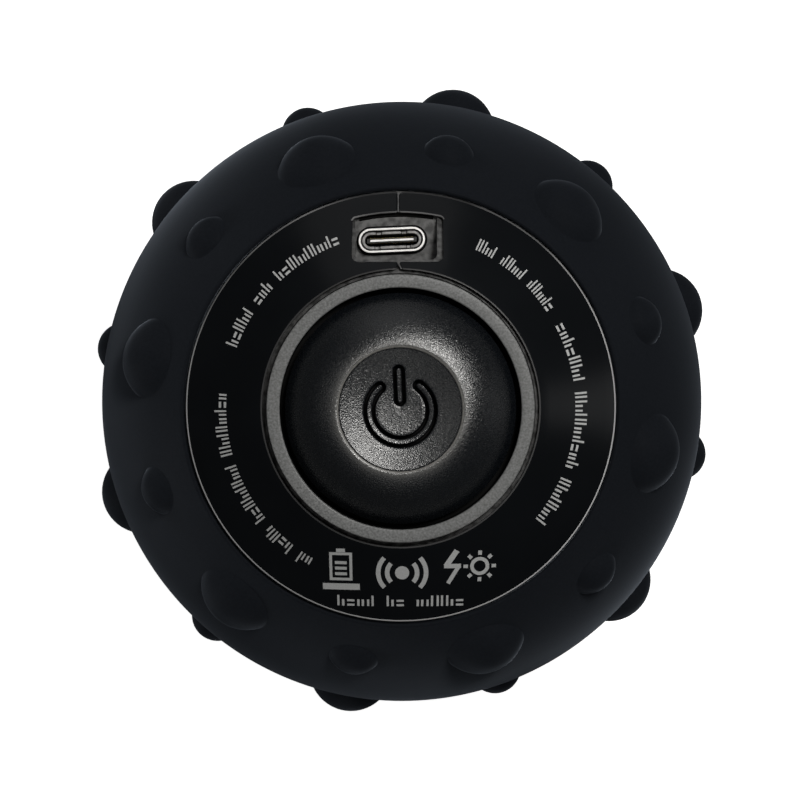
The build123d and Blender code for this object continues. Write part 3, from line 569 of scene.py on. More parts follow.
def all_bumps():
    """Three rows of big and small bumps in turn, and the big ones that the ball stands on."""
    rows = [(90.0, FIRST_BIG), (FRONT_ROW, FIRST_BIG + 30), (180 - FRONT_ROW, FIRST_BIG + 30)]
    bumps = []
    for polar, first in rows:
        for i in range(6):
            bumps.append(one_bump(BIG_BUMP, polar, first + 60 * i))
            bumps.append(one_bump(SMALL_BUMP, polar, first + 60 * i + 30))
    for i in range(6):
        bumps.append(one_bump(BIG_BUMP, REST_RING, FIRST_BIG + 60 * i))
    return bumps


def base_angle(dome_r, centre):
    """Half the angle that a bump's base spans, seen from the ball's centre."""
    return math.acos((BALL_R ** 2 + centre ** 2 - dome_r ** 2) / (2 * BALL_R * centre))


def soft_max(a, b, softness):
    """The larger of two heights, rounded where they cross."""
    gap = abs(a - b)
    lift = max(0.0, softness - gap) ** 2 / (4 * softness)
    return max(a, b) + lift


def sleeve_radius(point, bumps):
    """The skin's distance from the ball's centre in a direction."""
    for tip, dome_r, centre in bumps:
        angle = point.angle(tip)
        if angle < base_angle(dome_r, centre) + 0.03:
            inside = dome_r ** 2 - (centre * math.sin(angle)) ** 2
            if inside > 0:
                return soft_max(BALL_R, centre * math.cos(angle) + math.sqrt(inside), CREASE)
    return BALL_R


def bump_rings(tip, dome_r, centre):
    """Rings of directions round a bump, closest together at its crease."""
    base = base_angle(dome_r, centre)
    side = tip.orthogonal().normalized()
    other = tip.cross(side)
    shares = (0.12, 0.25, 0.38, 0.5, 0.61, 0.71, 0.79, 0.86, 0.92, 0.96, 0.985, 1.0)
    angles = [base * share for share in shares]
    angles += [base + offset / BALL_R for offset in (0.06, 0.18, 0.4, 0.8, 1.4)]
    points = [tip.copy()]
    for angle in angles:
        near_edge = abs(angle - base) * BALL_R < 0.9
        spacing = 0.36 if near_edge else 0.6
        full = 2 * math.pi * BALL_R * math.sin(base)
        around = 2 * math.pi * BALL_R * math.sin(angle)
        count = max(8, round((full if near_edge else around) / spacing))
        for i in range(count):
            a = 2 * math.pi * i / count
            outwards = side * math.cos(a) + other * math.sin(a)
            points.append(tip * math.cos(angle) + outwards * math.sin(angle))
    return points


def sleeve_directions(bumps, mouth_angle):
    """Directions of the skin's points: rings at the mouth and round each bump, then an even spread."""
    points = []
    for i in range(SEGMENTS):
        points.append(direction(mouth_angle, 360 * i / SEGMENTS))
    for offset in (0.35, 0.9, 1.7):
        turn = math.degrees(offset / BALL_R)
        for i in range(SEGMENTS):
            points.append(direction(mouth_angle + turn, 360 * (i + 0.5) / SEGMENTS))
    for tip, dome_r, centre in bumps:
        points += bump_rings(tip, dome_r, centre)
    count = round(4 * math.pi * BALL_R ** 2 / (SKIN_SPACING ** 2 * 0.87))
    golden = math.pi * (3 - math.sqrt(5))
    lowest = math.cos(math.radians(mouth_angle) + 2.4 / BALL_R)
    limits = [(tip, math.cos(base_angle(dome_r, centre) + 2.1 / BALL_R)) for tip, dome_r, centre in bumps]
    for i in range(count):
        z = 1 - 2 * (i + 0.5) / count
        if z > lowest:
            continue
        flat = math.sqrt(1 - z * z)
        point = Vector((flat * math.cos(golden * i), flat * math.sin(golden * i), z))
        if all(point.dot(tip) < limit for tip, limit in limits):
            points.append(point)
    return points


def sleeve_piece():
    """The sleeve's outer skin, its rolled mouth and its inside, one closed shell."""
    bumps = all_bumps()
    mouth_r = MOUTH_R + MOUTH_EDGE
    mouth_angle = math.degrees(math.asin(mouth_r / BALL_R))
    directions = sleeve_directions(bumps, mouth_angle)
    flat = [Vector((p.x / (1 - p.z), p.y / (1 - p.z))) for p in directions]
    placed, _, faces, _, _, _ = delaunay_2d_cdt(flat, [], [], 0, 1e-9)
    points = []
    for p in placed:
        square = p.x * p.x + p.y * p.y
        point = Vector((2 * p.x, 2 * p.y, square - 1)) / (square + 1)
        points.append(tuple(point * sleeve_radius(point, bumps)))

    edge_z = math.sqrt(BALL_R ** 2 - mouth_r ** 2)
    inner_z = math.sqrt(SLEEVE_INNER_R ** 2 - MOUTH_R ** 2)
    profile = [(mouth_r, edge_z)]
    for x, z in arc(mouth_r, edge_z - MOUTH_EDGE, MOUTH_EDGE, 90, 180, 5)[1:]:
        profile.append((x, z))
    profile.append((MOUTH_R, inner_z))
    start = math.degrees(math.asin(MOUTH_R / SLEEVE_INNER_R))
    steps = 40
    for i in range(1, steps):
        polar = math.radians(start + (180 - start) * i / steps)
        profile.append((SLEEVE_INNER_R * math.sin(polar), SLEEVE_INNER_R * math.cos(polar)))
    wall, wall_faces = lathe(profile, closed=False)
    offset = len(points)
    points += wall
    faces = [tuple(face) for face in faces]
    faces += [tuple(offset + i for i in face) for face in wall_faces]
    pole = len(points)
    points.append((0, 0, -SLEEVE_INNER_R))
    last = pole - SEGMENTS
    faces += [(last + i, last + (i + 1) % SEGMENTS, pole) for i in range(SEGMENTS)]
    sleeve = make_piece("sleeve_skin", points, faces, "housing", MATERIALS["silicone"], 80.0)
    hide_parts("silicone_sleeve")


# ---- face panel ----
def face_z(x, y):
    """Height of the panel's conical face."""
    return FACE_Z_OUT + (FACE_R_OUT - math.hypot(x, y)) * FACE_SLOPE


def angle_at(radius, x):
    """Direction, in degrees, of the point of a circle above a given x."""
    return math.degrees(math.acos(x / radius))


def panel_outline():
    """The C-shaped panel in plan, anticlockwise, its two ends parted by the slit and the porthole.

    The arcs stop short of the corners, to leave room for the corners' rounding."""
    left, right = SLIT_X - SLIT_W / 2, SLIT_X + SLIT_W / 2
    far_round, near_round = PORTHOLE_ROUNDS
    corners = []
    start, end = angle_at(FACE_R_OUT, left - 0.7), 360 + angle_at(FACE_R_OUT, right + 0.7)
    outer = arc(0, 0, FACE_R_OUT, start, end, 300)
    corners.append((left, math.sqrt(FACE_R_OUT ** 2 - left ** 2), LEFT_END_ROUND))
    corners += [(x, y, 0) for x, y in outer]
    corners.append((right, math.sqrt(FACE_R_OUT ** 2 - right ** 2), RIGHT_END_ROUND))

    corners.append((right, math.sqrt(PORTHOLE_R ** 2 - right ** 2), SLIT_PORT_ROUND))
    x0, x1 = PORTHOLE_X
    top = arc(0, 0, PORTHOLE_R, angle_at(PORTHOLE_R, right + 0.6), angle_at(PORTHOLE_R, x1 - 0.9), 14)
    corners += [(x, y, 0) for x, y in top]
    corners.append((x1, math.sqrt(PORTHOLE_R ** 2 - x1 ** 2), far_round))
    corners.append((x1, PORTHOLE_Y, near_round))
    corners.append((right, PORTHOLE_Y, SLIT_PORT_ROUND))
    corners.append((right + SLIT_SLANT, math.sqrt(FACE_R_IN ** 2 - right ** 2), RIGHT_INNER_ROUND))

    start, end = angle_at(FACE_R_IN, right + SLIT_SLANT + 0.8), angle_at(FACE_R_IN, left - 0.9)
    inner = arc(0, 0, FACE_R_IN, start, end - 360, 300)
    corners += [(x, y, 0) for x, y in inner]
    corners.append((left + SLIT_SLANT / 2, math.sqrt(FACE_R_IN ** 2 - left ** 2), LEFT_INNER_ROUND))
    corners.append((left, PORTHOLE_Y, SLIT_PORT_ROUND))
    corners.append((x0, PORTHOLE_Y, near_round))
    corners.append((x0, math.sqrt(PORTHOLE_R ** 2 - x0 ** 2), far_round))
    top = arc(0, 0, PORTHOLE_R, angle_at(PORTHOLE_R, x0 + 0.9), angle_at(PORTHOLE_R, left - 0.6), 14)
    corners += [(x, y, 0) for x, y in top]
    corners.append((left, math.sqrt(PORTHOLE_R ** 2 - left ** 2), SLIT_PORT_ROUND))
    return rounded(corners)


def panel_inner_points():
    """Points on rings across the panel, away from its edges."""
    points = []
    rings = 7
    for ring in range(1, rings):
        radius = FACE_R_IN + (FACE_R_OUT - FACE_R_IN) * ring / rings
        for i in range(144):
            a = 2 * math.pi * (i + 0.5 * (ring % 2)) / 144
            x, y = radius * math.cos(a), radius * math.sin(a)
            in_hole = PORTHOLE_X[0] - 0.6 < x < PORTHOLE_X[1] + 0.6 and y > PORTHOLE_Y - 0.6
            if not in_hole and not (abs(x - SLIT_X) < 0.8 and y > 0):
                points.append((x, y))
    return points


def paint_panel_edges(mesh, drop):
    """Gives the panel's rounded edges their own materials, pale painted highlights; the slit and the
    porthole's sides stay black.
    """
    mesh.materials.append(MATERIALS["panel_edge_highlight"])
    mesh.materials.append(MATERIALS["panel_inner_edge_highlight"])
    for face in mesh.polygons:
        spots = [mesh.vertices[i].co / MM for i in face.vertices]
        depths = [face_z(p.x, p.y) + CENTRE / MM - p.z for p in spots]
        if max(depths) < 0.005 or min(depths) > drop * 0.99:
            continue
        radius = math.hypot(face.center.x, face.center.y) / MM
        over_port = abs(radius - PORTHOLE_R) < FACE_EDGE + 0.05 and face.center.y > abs(face.center.x) * 3
        # these rounded edges get the painted highlight materials
        if radius > FACE_R_OUT - FACE_EDGE - 0.05 or over_port:
            face.material_index = 1
        elif radius < FACE_R_IN + FACE_EDGE + 0.05:
            face.material_index = 2


def panel_piece():
    """The conical panel: flat triangles lifted to the cone, rounded edges, and an underside."""
    outline = panel_outline()
    top_loop = inset(outline, FACE_EDGE)
    flat, triangles = triangulate([top_loop], panel_inner_points())
    drop = FACE_T / FACE_COS
    top = [(x, y, face_z(x, y)) for x, y in flat]
    bottom = [(x, y, face_z(x, y) - drop) for x, y in flat]
    rims = []
    for share, fall in FACE_ROUNDING:
        loop = inset(outline, FACE_EDGE * share)
        rims.append([(x, y, face_z(x, y) - FACE_EDGE * fall) for x, y in loop])
    rims.append([(x, y, face_z(x, y) - drop) for x, y in outline])
    count = len(outline)
    points = top + bottom
    faces = [tuple(face) for face in triangles]
    faces += [tuple(len(top) + i for i in reversed(face)) for face in triangles]
    previous = 0
    for rim in rims:
        start = len(points)
        points += rim
        faces += ring_faces(start, previous, count)
        previous = start
    faces += ring_faces(len(top), previous, count)
    panel = make_piece("face_trim", points, faces, "housing", MATERIALS["panel_gloss"], 30.0)
    paint_panel_edges(panel.data, drop)
    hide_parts("face_panel")


def seam_piece():
    """A bead of filler in the slit between the panel's two ends."""
    points, faces = [], []
    half = SLIT_W / 3
    stretches = ((FACE_R_IN + 0.1, PORTHOLE_Y - 0.1, SLIT_SLANT), (PORTHOLE_R + 0.1, FACE_R_OUT - 0.1, 0))
    for near, far, slant in stretches:
        start = len(points)
        steps = 6
        for i in range(steps + 1):
            y = near + (far - near) * i / steps
            z = face_z(SLIT_X, y)
            middle = SLIT_X + slant * (1 - i / steps)
            for x, drop in ((-half, 0.5), (-half, 0.1), (0, 0.04), (half, 0.1), (half, 0.5)):
                points.append((middle + x, y, z - drop))
        for i in range(steps):
            faces += ring_faces(start + 5 * i, start + 5 * (i + 1), 5)
        last = start + 5 * steps
        faces += [tuple(range(start, start + 5)), tuple(range(last, last + 5))]
    make_piece("panel_seam", points, faces, "housing", MATERIALS["seam_filler"], 30.0)


# ---- print on the panel ----
def ribbon(points, faces, left, right):
    """Adds a thin closed strip of print between two lines drawn in plan."""
    start = len(points)
    count = len(left)
    for lift in (PRINT_LIFT, -PRINT_DEPTH):
        points += [(x, y, face_z(x, y) + lift) for x, y in left]
        points += [(x, y, face_z(x, y) + lift) for x, y in right]
    top, low = start, start + 2 * count
    for i in range(count - 1):
        faces.append((top + i, top + i + 1, top + count + i + 1, top + count + i))
        faces.append((low + i, low + count + i, low + count + i + 1, low + i + 1))
        faces.append((top + i, low + i, low + i + 1, top + i + 1))
        faces.append((top + count + i, top + count + i + 1, low + count + i + 1, low + count + i))
    faces.append((top, top + count, low + count, low))
    end = count - 1
    faces.append((top + end, low + end, low + count + end, top + count + end))


def stroke(points, faces, path, width):
    """A strip of one width along a line."""
    left, right = [], []
    for i, (x, y) in enumerate(path):
        ax, ay = path[max(0, i - 1)]
        bx, by = path[min(len(path) - 1, i + 1)]
        length = math.hypot(bx - ax, by - ay)
        dx, dy = -(by - ay) / length * width / 2, (bx - ax) / length * width / 2
        left.append((x + dx, y + dy))
        right.append((x - dx, y - dy))
    ribbon(points, faces, left, right)


def along(x0, y0, x1, y1, steps=8):
    """Points on a straight line, both ends included."""
    return [(x0 + (x1 - x0) * i / steps, y0 + (y1 - y0) * i / steps) for i in range(steps + 1)]


def mark_rows(points, faces):
    """The curved rows of plain strokes."""
    for row, (start, end, groups) in enumerate(PRINT_ROWS):
        cell = (end - start) / (sum(groups) + len(groups) - 1)
        place = 0
        for group in groups:
            for k in range(group):
                for left, right, low, high in PRINT_MARKS[(3 * place + row + k // 2) % len(PRINT_MARKS)]:
                    a0, a1 = start + (place + left) * cell, start + (place + right) * cell
                    inner, outer = PRINT_R
                    r0, r1 = inner + (outer - inner) * low, inner + (outer - inner) * high
                    ribbon(points, faces, arc(0, 0, r0, a0, a1, 2), arc(0, 0, r1, a0, a1, 2))
                place += 1
            place += 1


def mark_line(points, faces):
    """The straight row of plain strokes, opposite the socket."""
    start = -PRINT_LINE_W / 2
    cell = PRINT_LINE_W / (sum(PRINT_LINE) + len(PRINT_LINE) - 1)
    place = 0
    for group in PRINT_LINE:
        for k in range(group):
            for left, right, low, high in PRINT_MARKS[(2 * place + k) % len(PRINT_MARKS)]:
                x0, x1 = start + (place + left) * cell, start + (place + right) * cell
                y0, y1 = PRINT_LINE_Y + low * PRINT_LINE_H, PRINT_LINE_Y + high * PRINT_LINE_H
                ribbon(points, faces, along(x0, y0, x1, y0, 2), along(x0, y1, x1, y1, 2))
            place += 1
        place += 1


def battery_mark(points, faces, x, y):
    """A battery with three bars, above a base line."""
    for side in (-1, 1):
        stroke(points, faces, along(x + 1.35 * side, y - 2.0, x + 1.35 * side, y + 2.0), 0.38)
    for dy in (-1.81, 1.81):
        stroke(points, faces, along(x - 1.16, y + dy, x + 1.16, y + dy), 0.38)
    stroke(points, faces, along(x - 0.6, y + 2.3, x + 0.6, y + 2.3), 0.5)
    for dy in (-1.05, -0.25, 0.55):
        stroke(points, faces, along(x - 0.8, y + dy, x + 0.8, y + dy), 0.42)
    stroke(points, faces, along(x - 2.5, y - 2.9, x + 2.5, y - 2.9), 0.9)


def shaking_mark(points, faces, x, y):
    """A ball between two pairs of curved lines."""
    ribbon(points, faces, arc(x, y, 0.95, 176, 4, 16), arc(x, y, 0.95, 184, 356, 16))
    for radius in (2.0, 3.2):
        stroke(points, faces, arc(x, y, radius, -42, 42, 16), 0.62)
        stroke(points, faces, arc(x, y, radius, 138, 222, 16), 0.62)


def bolt_mark(points, faces, x, y):
    """A spark, in three strokes."""
    stroke(points, faces, along(x + 0.60, y + 2.3, x - 0.85, y + 0.1), 0.75)
    stroke(points, faces, along(x - 1.10, y + 0.1, x + 1.15, y + 0.1), 0.62)
    stroke(points, faces, along(x + 0.80, y - 0.05, x - 0.55, y - 2.4), 0.55)


def lamp_mark(points, faces, x, y):
    """A ring with eight rays."""
    stroke(points, faces, arc(x, y, 1.05, 0, 360, 32), 0.5)
    for i in range(8):
        inner = arc(x, y, 1.6, 45 * i, 45 * i, 1)[0]
        outer = arc(x, y, 2.2, 45 * i, 45 * i, 1)[0]
        stroke(points, faces, along(*inner, *outer, 2), 0.5)


def print_piece():
    """All the print on the panel, as one thin raised piece."""
    points, faces = [], []
    mark_rows(points, faces)
    mark_line(points, faces)
    battery_mark(points, faces, -8.0, -21.2)
    shaking_mark(points, faces, 0.2, -22.0)
    bolt_mark(points, faces, 6.9, -21.2)
    lamp_mark(points, faces, 10.6, -21.2)
    make_piece("face_print", points, faces, "housing", MATERIALS["print"])


# ---- light ring ----
def ring_piece():
    """The frosted ring with its rounded top edges, and the tube below it; all but its top is painted black as
    shade.
    """
    profile = [(RING_R_IN, RING_SHELF), (RING_TUBE_BORE, RING_SHELF)]
    profile += [(RING_TUBE_BORE, RING_TUBE_BOTTOM), (RING_TUBE_R, RING_TUBE_BOTTOM)]
    profile += [(RING_TUBE_R, SHELL_SHELF), (RING_R_OUT, SHELL_SHELF)]
    profile += arc(RING_R_OUT - RING_EDGE, RING_TOP - RING_EDGE, RING_EDGE, 0, 90, 5)
    profile += [((RING_R_OUT + RING_R_IN) / 2, RING_TOP)]
    profile += arc(RING_R_IN + RING_EDGE, RING_TOP - RING_EDGE, RING_EDGE, 90, 180, 5)
    points, faces = lathe(profile)
    ring = make_piece("ring_diffuser", points, faces, "housing", MATERIALS["diffuser"], 40.0)
    # painted shade: the ring's walls below its lit top, and the tube, are made black
    ring.data.materials.append(MATERIALS["deep_black"])
    for face in ring.data.polygons:
        if face.center.z - CENTRE < (RING_TOP - RING_LIT_DEPTH) * MM:
            face.material_index = 1
    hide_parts("light_ring")


# ---- power button ----
def dish_z(radius):
    """The dish: a shallow hollow, with a small gate mark at its middle."""
    gate = GATE_DEPTH * max(0.0, 1 - (radius / GATE_R) ** 2)
    return DISH_LOW + DISH_RISE * (radius / DISH_R) ** 2 - gate


def stroke_distance(x, y):
    """Distance from the power symbol's middle line, in the symbol's own turned frame."""
    c, s = math.cos(-TURN), math.sin(-TURN)
    y = y - SYMBOL_Y
    x, y = c * x - s * y, s * x + c * y
    low, high = SYMBOL_BAR
    bar = math.hypot(x, y - min(max(y, low), high))
    from_top = abs(math.degrees(math.atan2(x, y)))
    if from_top >= SYMBOL_GAP:
        around = abs(math.hypot(x, y) - SYMBOL_R)
    else:
        gap = math.radians(SYMBOL_GAP)
        end = (math.copysign(SYMBOL_R * math.sin(gap), x), SYMBOL_R * math.cos(gap))
        around = math.hypot(x - end[0], y - end[1])
    return min(bar, around)


def channel_z(distance):
    """Height of the symbol's channel, with its rib, by distance from the middle line."""
    for (d0, z0), (d1, z1) in zip(CHANNEL, CHANNEL[1:]):
        if distance <= d1:
            return z0 + (z1 - z0) * (distance - d0) / (d1 - d0)
    return 0.0


def symbol_loops():
    """Contours of the symbol, one for each step of its channel, in the button's plan."""
    loops = []
    low, high = SYMBOL_BAR
    for width, _ in CHANNEL[1:]:
        steps = max(6, round(width * 16))
        bar = arc(0, high, width, 0, 180, steps) + arc(0, low, width, 180, 360, steps)
        start, end = 90 + SYMBOL_GAP, 450 - SYMBOL_GAP
        outer = arc(0, 0, SYMBOL_R + width, start, end, 110)
        inner = arc(0, 0, SYMBOL_R - width, end, start, 110)
        x1, y1 = arc(0, 0, SYMBOL_R, end, end, 1)[0]
        x0, y0 = arc(0, 0, SYMBOL_R, start, start, 1)[0]
        far_cap = arc(x1, y1, width, end, end + 180, steps)[1:-1]
        near_cap = arc(x0, y0, width, start + 180, start + 360, steps)[1:-1]
        loops += [bar, outer + far_cap + inner + near_cap]
    c, s = math.cos(TURN), math.sin(TURN)
    return [[(c * x - s * y, s * x + c * y + SYMBOL_Y) for x, y in loop] for loop in loops]


def cap_top():
    """The dish with its symbol, as flat triangles lifted to their heights."""
    boundary = arc(0, 0, SYMBOL_FIELD_R, 0, 360, SEGMENTS)[:-1]
    inner = []
    steps = int(SYMBOL_FIELD_R / SYMBOL_SPACING)
    for i in range(-steps, steps + 1):
        for j in range(-steps, steps + 1):
            x, y = i * SYMBOL_SPACING, j * SYMBOL_SPACING
            if math.hypot(x, y) < SYMBOL_FIELD_R - 0.2 and stroke_distance(x, y) > 1.05:
                inner.append((x, y))
    flat, triangles = triangulate([boundary] + symbol_loops(), inner)
    top = []
    for x, y in flat:
        top.append((x, y, dish_z(math.hypot(x, y)) + channel_z(stroke_distance(x, y))))
    return top, [tuple(face) for face in triangles]


def cap_profile():
    """The cap's outline from the dish round the symbol, over the dome and the flange, to its underside."""
    profile = []
    for i in range(7):
        radius = SYMBOL_FIELD_R + (DISH_END_R - SYMBOL_FIELD_R) * i / 6
        profile.append((radius, dish_z(radius)))
    profile += [*GROOVE, *LIP]
    crest_r, height = LIP[-1]
    first, more, power = DOME_SLOPE
    for i in range(1, DOME_STEPS + 1):
        share = (i - 0.5) / DOME_STEPS
        slope = math.radians(first + more * share ** power)
        height -= math.tan(slope) * (BUTTON_R - crest_r) / DOME_STEPS
        profile.append((crest_r + (BUTTON_R - crest_r) * i / DOME_STEPS, height))
    profile += [(BUTTON_R, height - SKIRT), (BUTTON_R, FLANGE[1]), (FLANGE_R, FLANGE[1])]
    profile += [(FLANGE_R, FLANGE[0]), *UNDERSIDE]
    return profile


def paint_cap(mesh):
    """Paints shade black into the symbol's channel and onto the cap's wall in the gap inside the ring, and
    gives the lip its painted highlight.
    """
    mesh.materials.append(MATERIALS["deep_black"])
    mesh.materials.append(MATERIALS["button_lip_highlight"])
    for face in mesh.polygons:
        x, y = face.center.x / MM, face.center.y / MM
        radius = math.hypot(x, y)
        # painted shade: the channel's depths and the cap's wall in the gap inside the ring are made black
        in_channel = radius < SYMBOL_FIELD_R and CHANNEL_SHADE[0] < stroke_distance(x, y) < CHANNEL_SHADE[1]
        if in_channel or radius > BUTTON_R - 0.01:
            face.material_index = 1
        # the lip's painted highlight
        elif LIP_HIGHLIGHT_R[0] < radius < LIP_HIGHLIGHT_R[1] and face.normal.z > 0.2:
            face.material_index = 2


def button_piece():
    """The cap: its lifted dish, then a turned dome closed by a point under its middle."""
    top, cap = cap_top()
    profile = cap_profile()
    wall, wall_faces = lathe(profile, closed=False)
    offset = len(top)
    cap += [tuple(offset + i for i in face) for face in wall_faces]
    pole = offset + len(wall)
    last = pole - SEGMENTS
    cap += [(last + i, last + (i + 1) % SEGMENTS, pole) for i in range(SEGMENTS)]
    points = top + wall + [(0, 0, profile[-1][1])]
    satin = MATERIALS["button_plastic"]
    button = make_piece("button_cap", points, cap, "button", satin, 33.0)
    paint_cap(button.data)
    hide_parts("power_button")


# ---- charging socket ----
def stadium(offset):
    """The socket's outline, straight with round ends, grown by an offset."""
    radius = USB_H / 2 + offset
    half = (USB_W - USB_H) / 2
    top = along(half, radius, -half, radius, 40)[1:-1]
    low = along(-half, -radius, half, -radius, 40)[1:-1]
    return arc(half, 0, radius, -90, 90, 14) + top + arc(-half, 0, radius, 90, 270, 14) + low


def at_port(x, y):
    """A place in the socket's turned frame, moved to the ball's frame."""
    c, s = math.cos(TURN), math.sin(TURN)
    return USB_AT[0] + c * x - s * y, USB_AT[1] + s * x + c * y


def stadium_piece(name, profile, material, notches=(), replaced=()):
    """A wall that follows the socket's outline, from a closed profile of (offset, height).

    Notches are the middles, along the straight sides, of dips in its top."""
    points, faces = [], []
    floor = min(z for _, z in profile)
    for offset, z in profile:
        for x, y in stadium(offset):
            dip = any(abs(x - middle) < NOTCH_HALF and y * side > 0 for middle, side in notches)
            low = NOTCH_DEPTH if dip and z > floor else 0
            points.append((*at_port(x, y), z - low))
    rows = len(profile)
    count = len(points) // rows
    for row in range(rows):
        faces += ring_faces(row * count, ((row + 1) % rows) * count, count)
    piece = make_piece(name, points, faces, "housing", material, 35.0)
    if replaced:
        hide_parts(*replaced)


def tongue_piece():
    """The steel plate that the tongue is moulded round, with its top edges bevelled."""
    points = []
    high = USB_MOUTH - TONGUE_DROP
    for grow, z in ((0, LINING_LOW), (0, high - TONGUE_EDGE), (-TONGUE_EDGE, high)):
        w, t = TONGUE_W / 2 + grow, TONGUE_T / 2 + grow
        points += [(*at_port(x, y), z) for x, y in ((w, t), (-w, t), (-w, -t), (w, -t))]
    faces = [(0, 1, 2, 3), (8, 9, 10, 11)]
    faces += ring_faces(0, 4, 4) + ring_faces(4, 8, 4)
    make_piece("tongue_plate", points, faces, "housing", MATERIALS["socket_steel"], 30.0)


def shade_bead_piece():
    """A black bead along the far edge of the port's pocket: painted shade where the panel's edge shadows the
    pocket's floor.
    """
    section = arc(BEAD_R, POCKET_FLOOR + 0.02, BEAD, 0, 180, 6)
    section += [(BEAD_R - BEAD, POCKET_FLOOR - 0.02), (BEAD_R + BEAD, POCKET_FLOOR - 0.02)]
    start, end = angle_at(BEAD_END_R, BEAD_ENDS[1]), angle_at(BEAD_END_R, BEAD_ENDS[0])
    steps = 60
    points = []
    for i in range(steps + 1):
        a = math.radians(start + (end - start) * i / steps)
        points += [(radius * math.cos(a), radius * math.sin(a), z) for radius, z in section]
    count = len(section)
    faces = [tuple(range(count)), tuple(range(steps * count, (steps + 1) * count))]
    for i in range(steps):
        faces += ring_faces(i * count, (i + 1) * count, count)
    make_piece("pocket_shade_bead", points, faces, "housing", MATERIALS["deep_black"], 40.0)


def shell_piece():
    """The socket's drawn steel shell, with its mouth rounded both ways."""
    low, high = BOARD_TOP + 0.1, USB_MOUTH - USB_EDGE
    profile = [(USB_PROUD, low), (USB_PROUD, high), (USB_PROUD - USB_EDGE, USB_MOUTH)]
    profile += [(-USB_WALL + USB_EDGE, USB_MOUTH), (-USB_WALL, high), (-USB_WALL, low)]
    stadium_piece("socket_shell", profile, MATERIALS["socket_steel"], (), ["usb_shell"])


def lining_piece():
    """The notched inner liner, set back in the shell."""
    outer, inner = LINING
    top = USB_MOUTH - LINING_DROP
    profile = [(outer, LINING_LOW), (outer, top - LINING_EDGE), (outer - LINING_EDGE, top)]
    profile += [(inner + LINING_EDGE, top), (inner, top - LINING_EDGE), (inner, LINING_LOW)]
    stadium_piece("socket_lining", profile, MATERIALS["lining_steel"], LINING_NOTCHES)


def seal_piece():
    """A thin black seal where the shell comes through the pocket's floor."""
    profile = [(offset, POCKET_FLOOR + rise) for offset, rise in SEAL]
    stadium_piece("socket_seal", profile, MATERIALS["deep_black"])


# ---- camera, light and floor, in metres from the ball's centre ----
CAMERA_LENS = 87.9
CAMERA_DISTANCE = 0.300
CAMERA_TILT = (0.2, 1.29)    # degrees to the right and towards the socket
CAMERA_SHIFT = (-0.00026, 0.0002, 0)
FLOOR_HALF = 2.0
WARM = (1.0, 0.985, 0.955)
# each lamp: its name, place, diameter, power and colour; a soft key from the upper right, then weak fills
LAMPS = (
    ("key", (0.13, 0.155, 0.42), 0.13, 1.06, WARM),
    ("left", (-0.20, 0.03, 0.40), 0.14, 0.05, WARM),
    ("below", (0.01, -0.20, 0.40), 0.14, 0.05, WARM),
    ("right", (0.48, 0.00, 0.13), 0.14, 0.03),
    ("top", (-0.06, 0.55, 0.22), 0.50, 0.15),
)
LOW_LAMPS = (0.26, 0.18, 0.85, 1.40, 0.58, 0.32)
LOW_LAMP_R = 0.6


def aim(obj, target, up):
    """Turns a camera or lamp to look at a point."""
    forward = (Vector(target) - obj.location).normalized()
    side = forward.cross(Vector(up)).normalized()
    top = side.cross(forward)
    obj.rotation_euler = Matrix((side, top, -forward)).transposed().to_euler()


def add_camera():
    """A camera over the button, leaning a little towards the socket."""
    data = bpy.data.cameras.new("view")
    data.lens = CAMERA_LENS
    data.sensor_width = 36.0
    data.clip_start = 0.01
    camera = bpy.data.objects.new("view", data)
    bpy.context.scene.collection.objects.link(camera)
    tilt_x, tilt_y = [math.radians(tilt) for tilt in CAMERA_TILT]
    centre = Vector((0, 0, CENTRE))
    lean = Vector((math.tan(tilt_x), math.tan(tilt_y), 1)).normalized()
    camera.location = centre + lean * CAMERA_DISTANCE
    aim(camera, centre + Vector(CAMERA_SHIFT), (0, 1, 0))
    bpy.context.scene.camera = camera


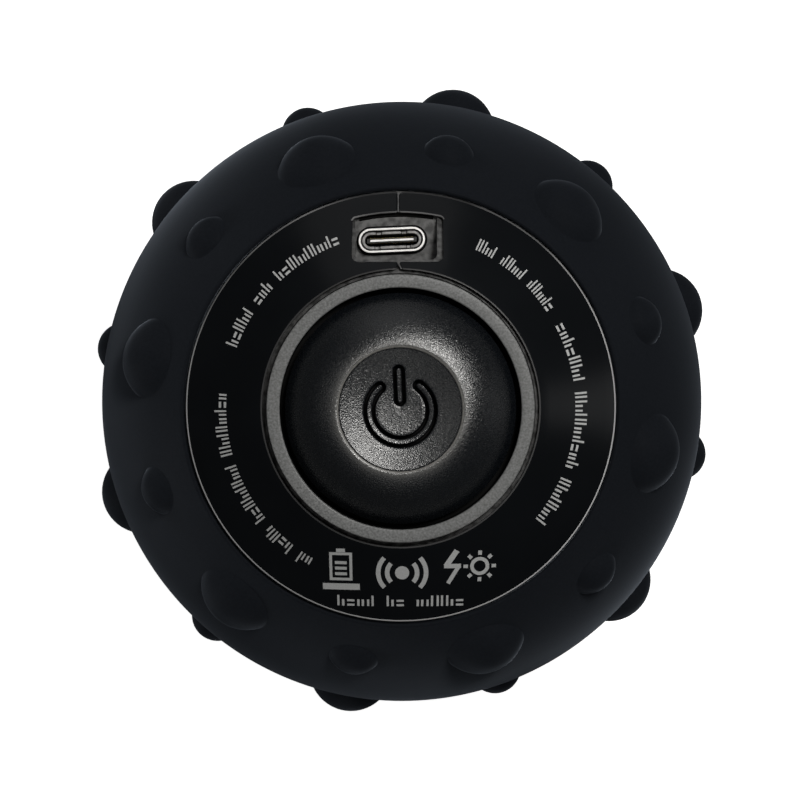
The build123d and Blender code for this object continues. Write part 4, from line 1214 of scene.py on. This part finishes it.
def add_light(name, place, size, power, color=(1, 1, 1)):
    """A round lamp that looks at the ball's centre."""
    data = bpy.data.lights.new(name, "AREA")
    data.shape = "DISK"
    data.size = size
    data.energy = power
    data.color = color
    lamp = bpy.data.objects.new(name, data)
    bpy.context.scene.collection.objects.link(lamp)
    lamp.location = Vector((0, 0, CENTRE)) + Vector(place)
    aim(lamp, (0, 0, CENTRE), (0.01, 1, 0.02))
    return lamp


def add_floor():
    """A white floor that glows by itself and lights nothing else."""
    white = (0.92, 0.92, 0.92)
    material = textured("floor_white", white, 0.8, specular=0.1, spread=0.01, scale=60.0, grain=0.02)
    set_shader(material, {"Emission Color": (1, 1, 1, 1), "Emission Strength": 0.95})
    low = cad_box[0][2]
    mesh = bpy.data.meshes.new("floor")
    corners = ((-1, -1), (1, -1), (1, 1), (-1, 1))
    mesh.from_pydata([(x * FLOOR_HALF, y * FLOOR_HALF, low) for x, y in corners], [], [(0, 1, 2, 3)])
    mesh.materials.append(material)
    floor = bpy.data.objects.new("floor", mesh)
    bpy.context.scene.collection.objects.link(floor)
    floor.visible_glossy = False
    floor.visible_diffuse = False


def add_world():
    """A faint white light from all round."""
    world = bpy.data.worlds.new("studio")
    world.use_nodes = True
    world.node_tree.nodes["Background"].inputs["Color"].default_value = (1, 1, 1, 1)
    world.node_tree.nodes["Background"].inputs["Strength"].default_value = 0.03
    bpy.context.scene.world = world


def add_lights():
    """The lamps over the face, and low lamps that graze only the ball's sides."""
    sides = bpy.data.collections.new("lit_from_the_side")
    for piece in (bpy.data.objects["sleeve_skin"], *frame["nodes"].values()):
        sides.objects.link(piece)
    for lamp in LAMPS:
        add_light(*lamp)
    for i, power in enumerate(LOW_LAMPS):
        a = math.radians(60 * i + 20)
        place = (LOW_LAMP_R * math.cos(a), LOW_LAMP_R * math.sin(a), -0.02)
        lamp = add_light(f"low_{i}", place, 0.30, power)
        lamp.light_linking.receiver_collection = sides


# ---- everything ----
bpy.context.scene.view_settings.view_transform = "Standard"
add_camera()
add_world()
add_floor()
paint_frame()
sleeve_piece()
panel_piece()
seam_piece()
print_piece()
ring_piece()
button_piece()
shell_piece()
lining_piece()
seal_piece()
tongue_piece()
shade_bead_piece()
add_lights()
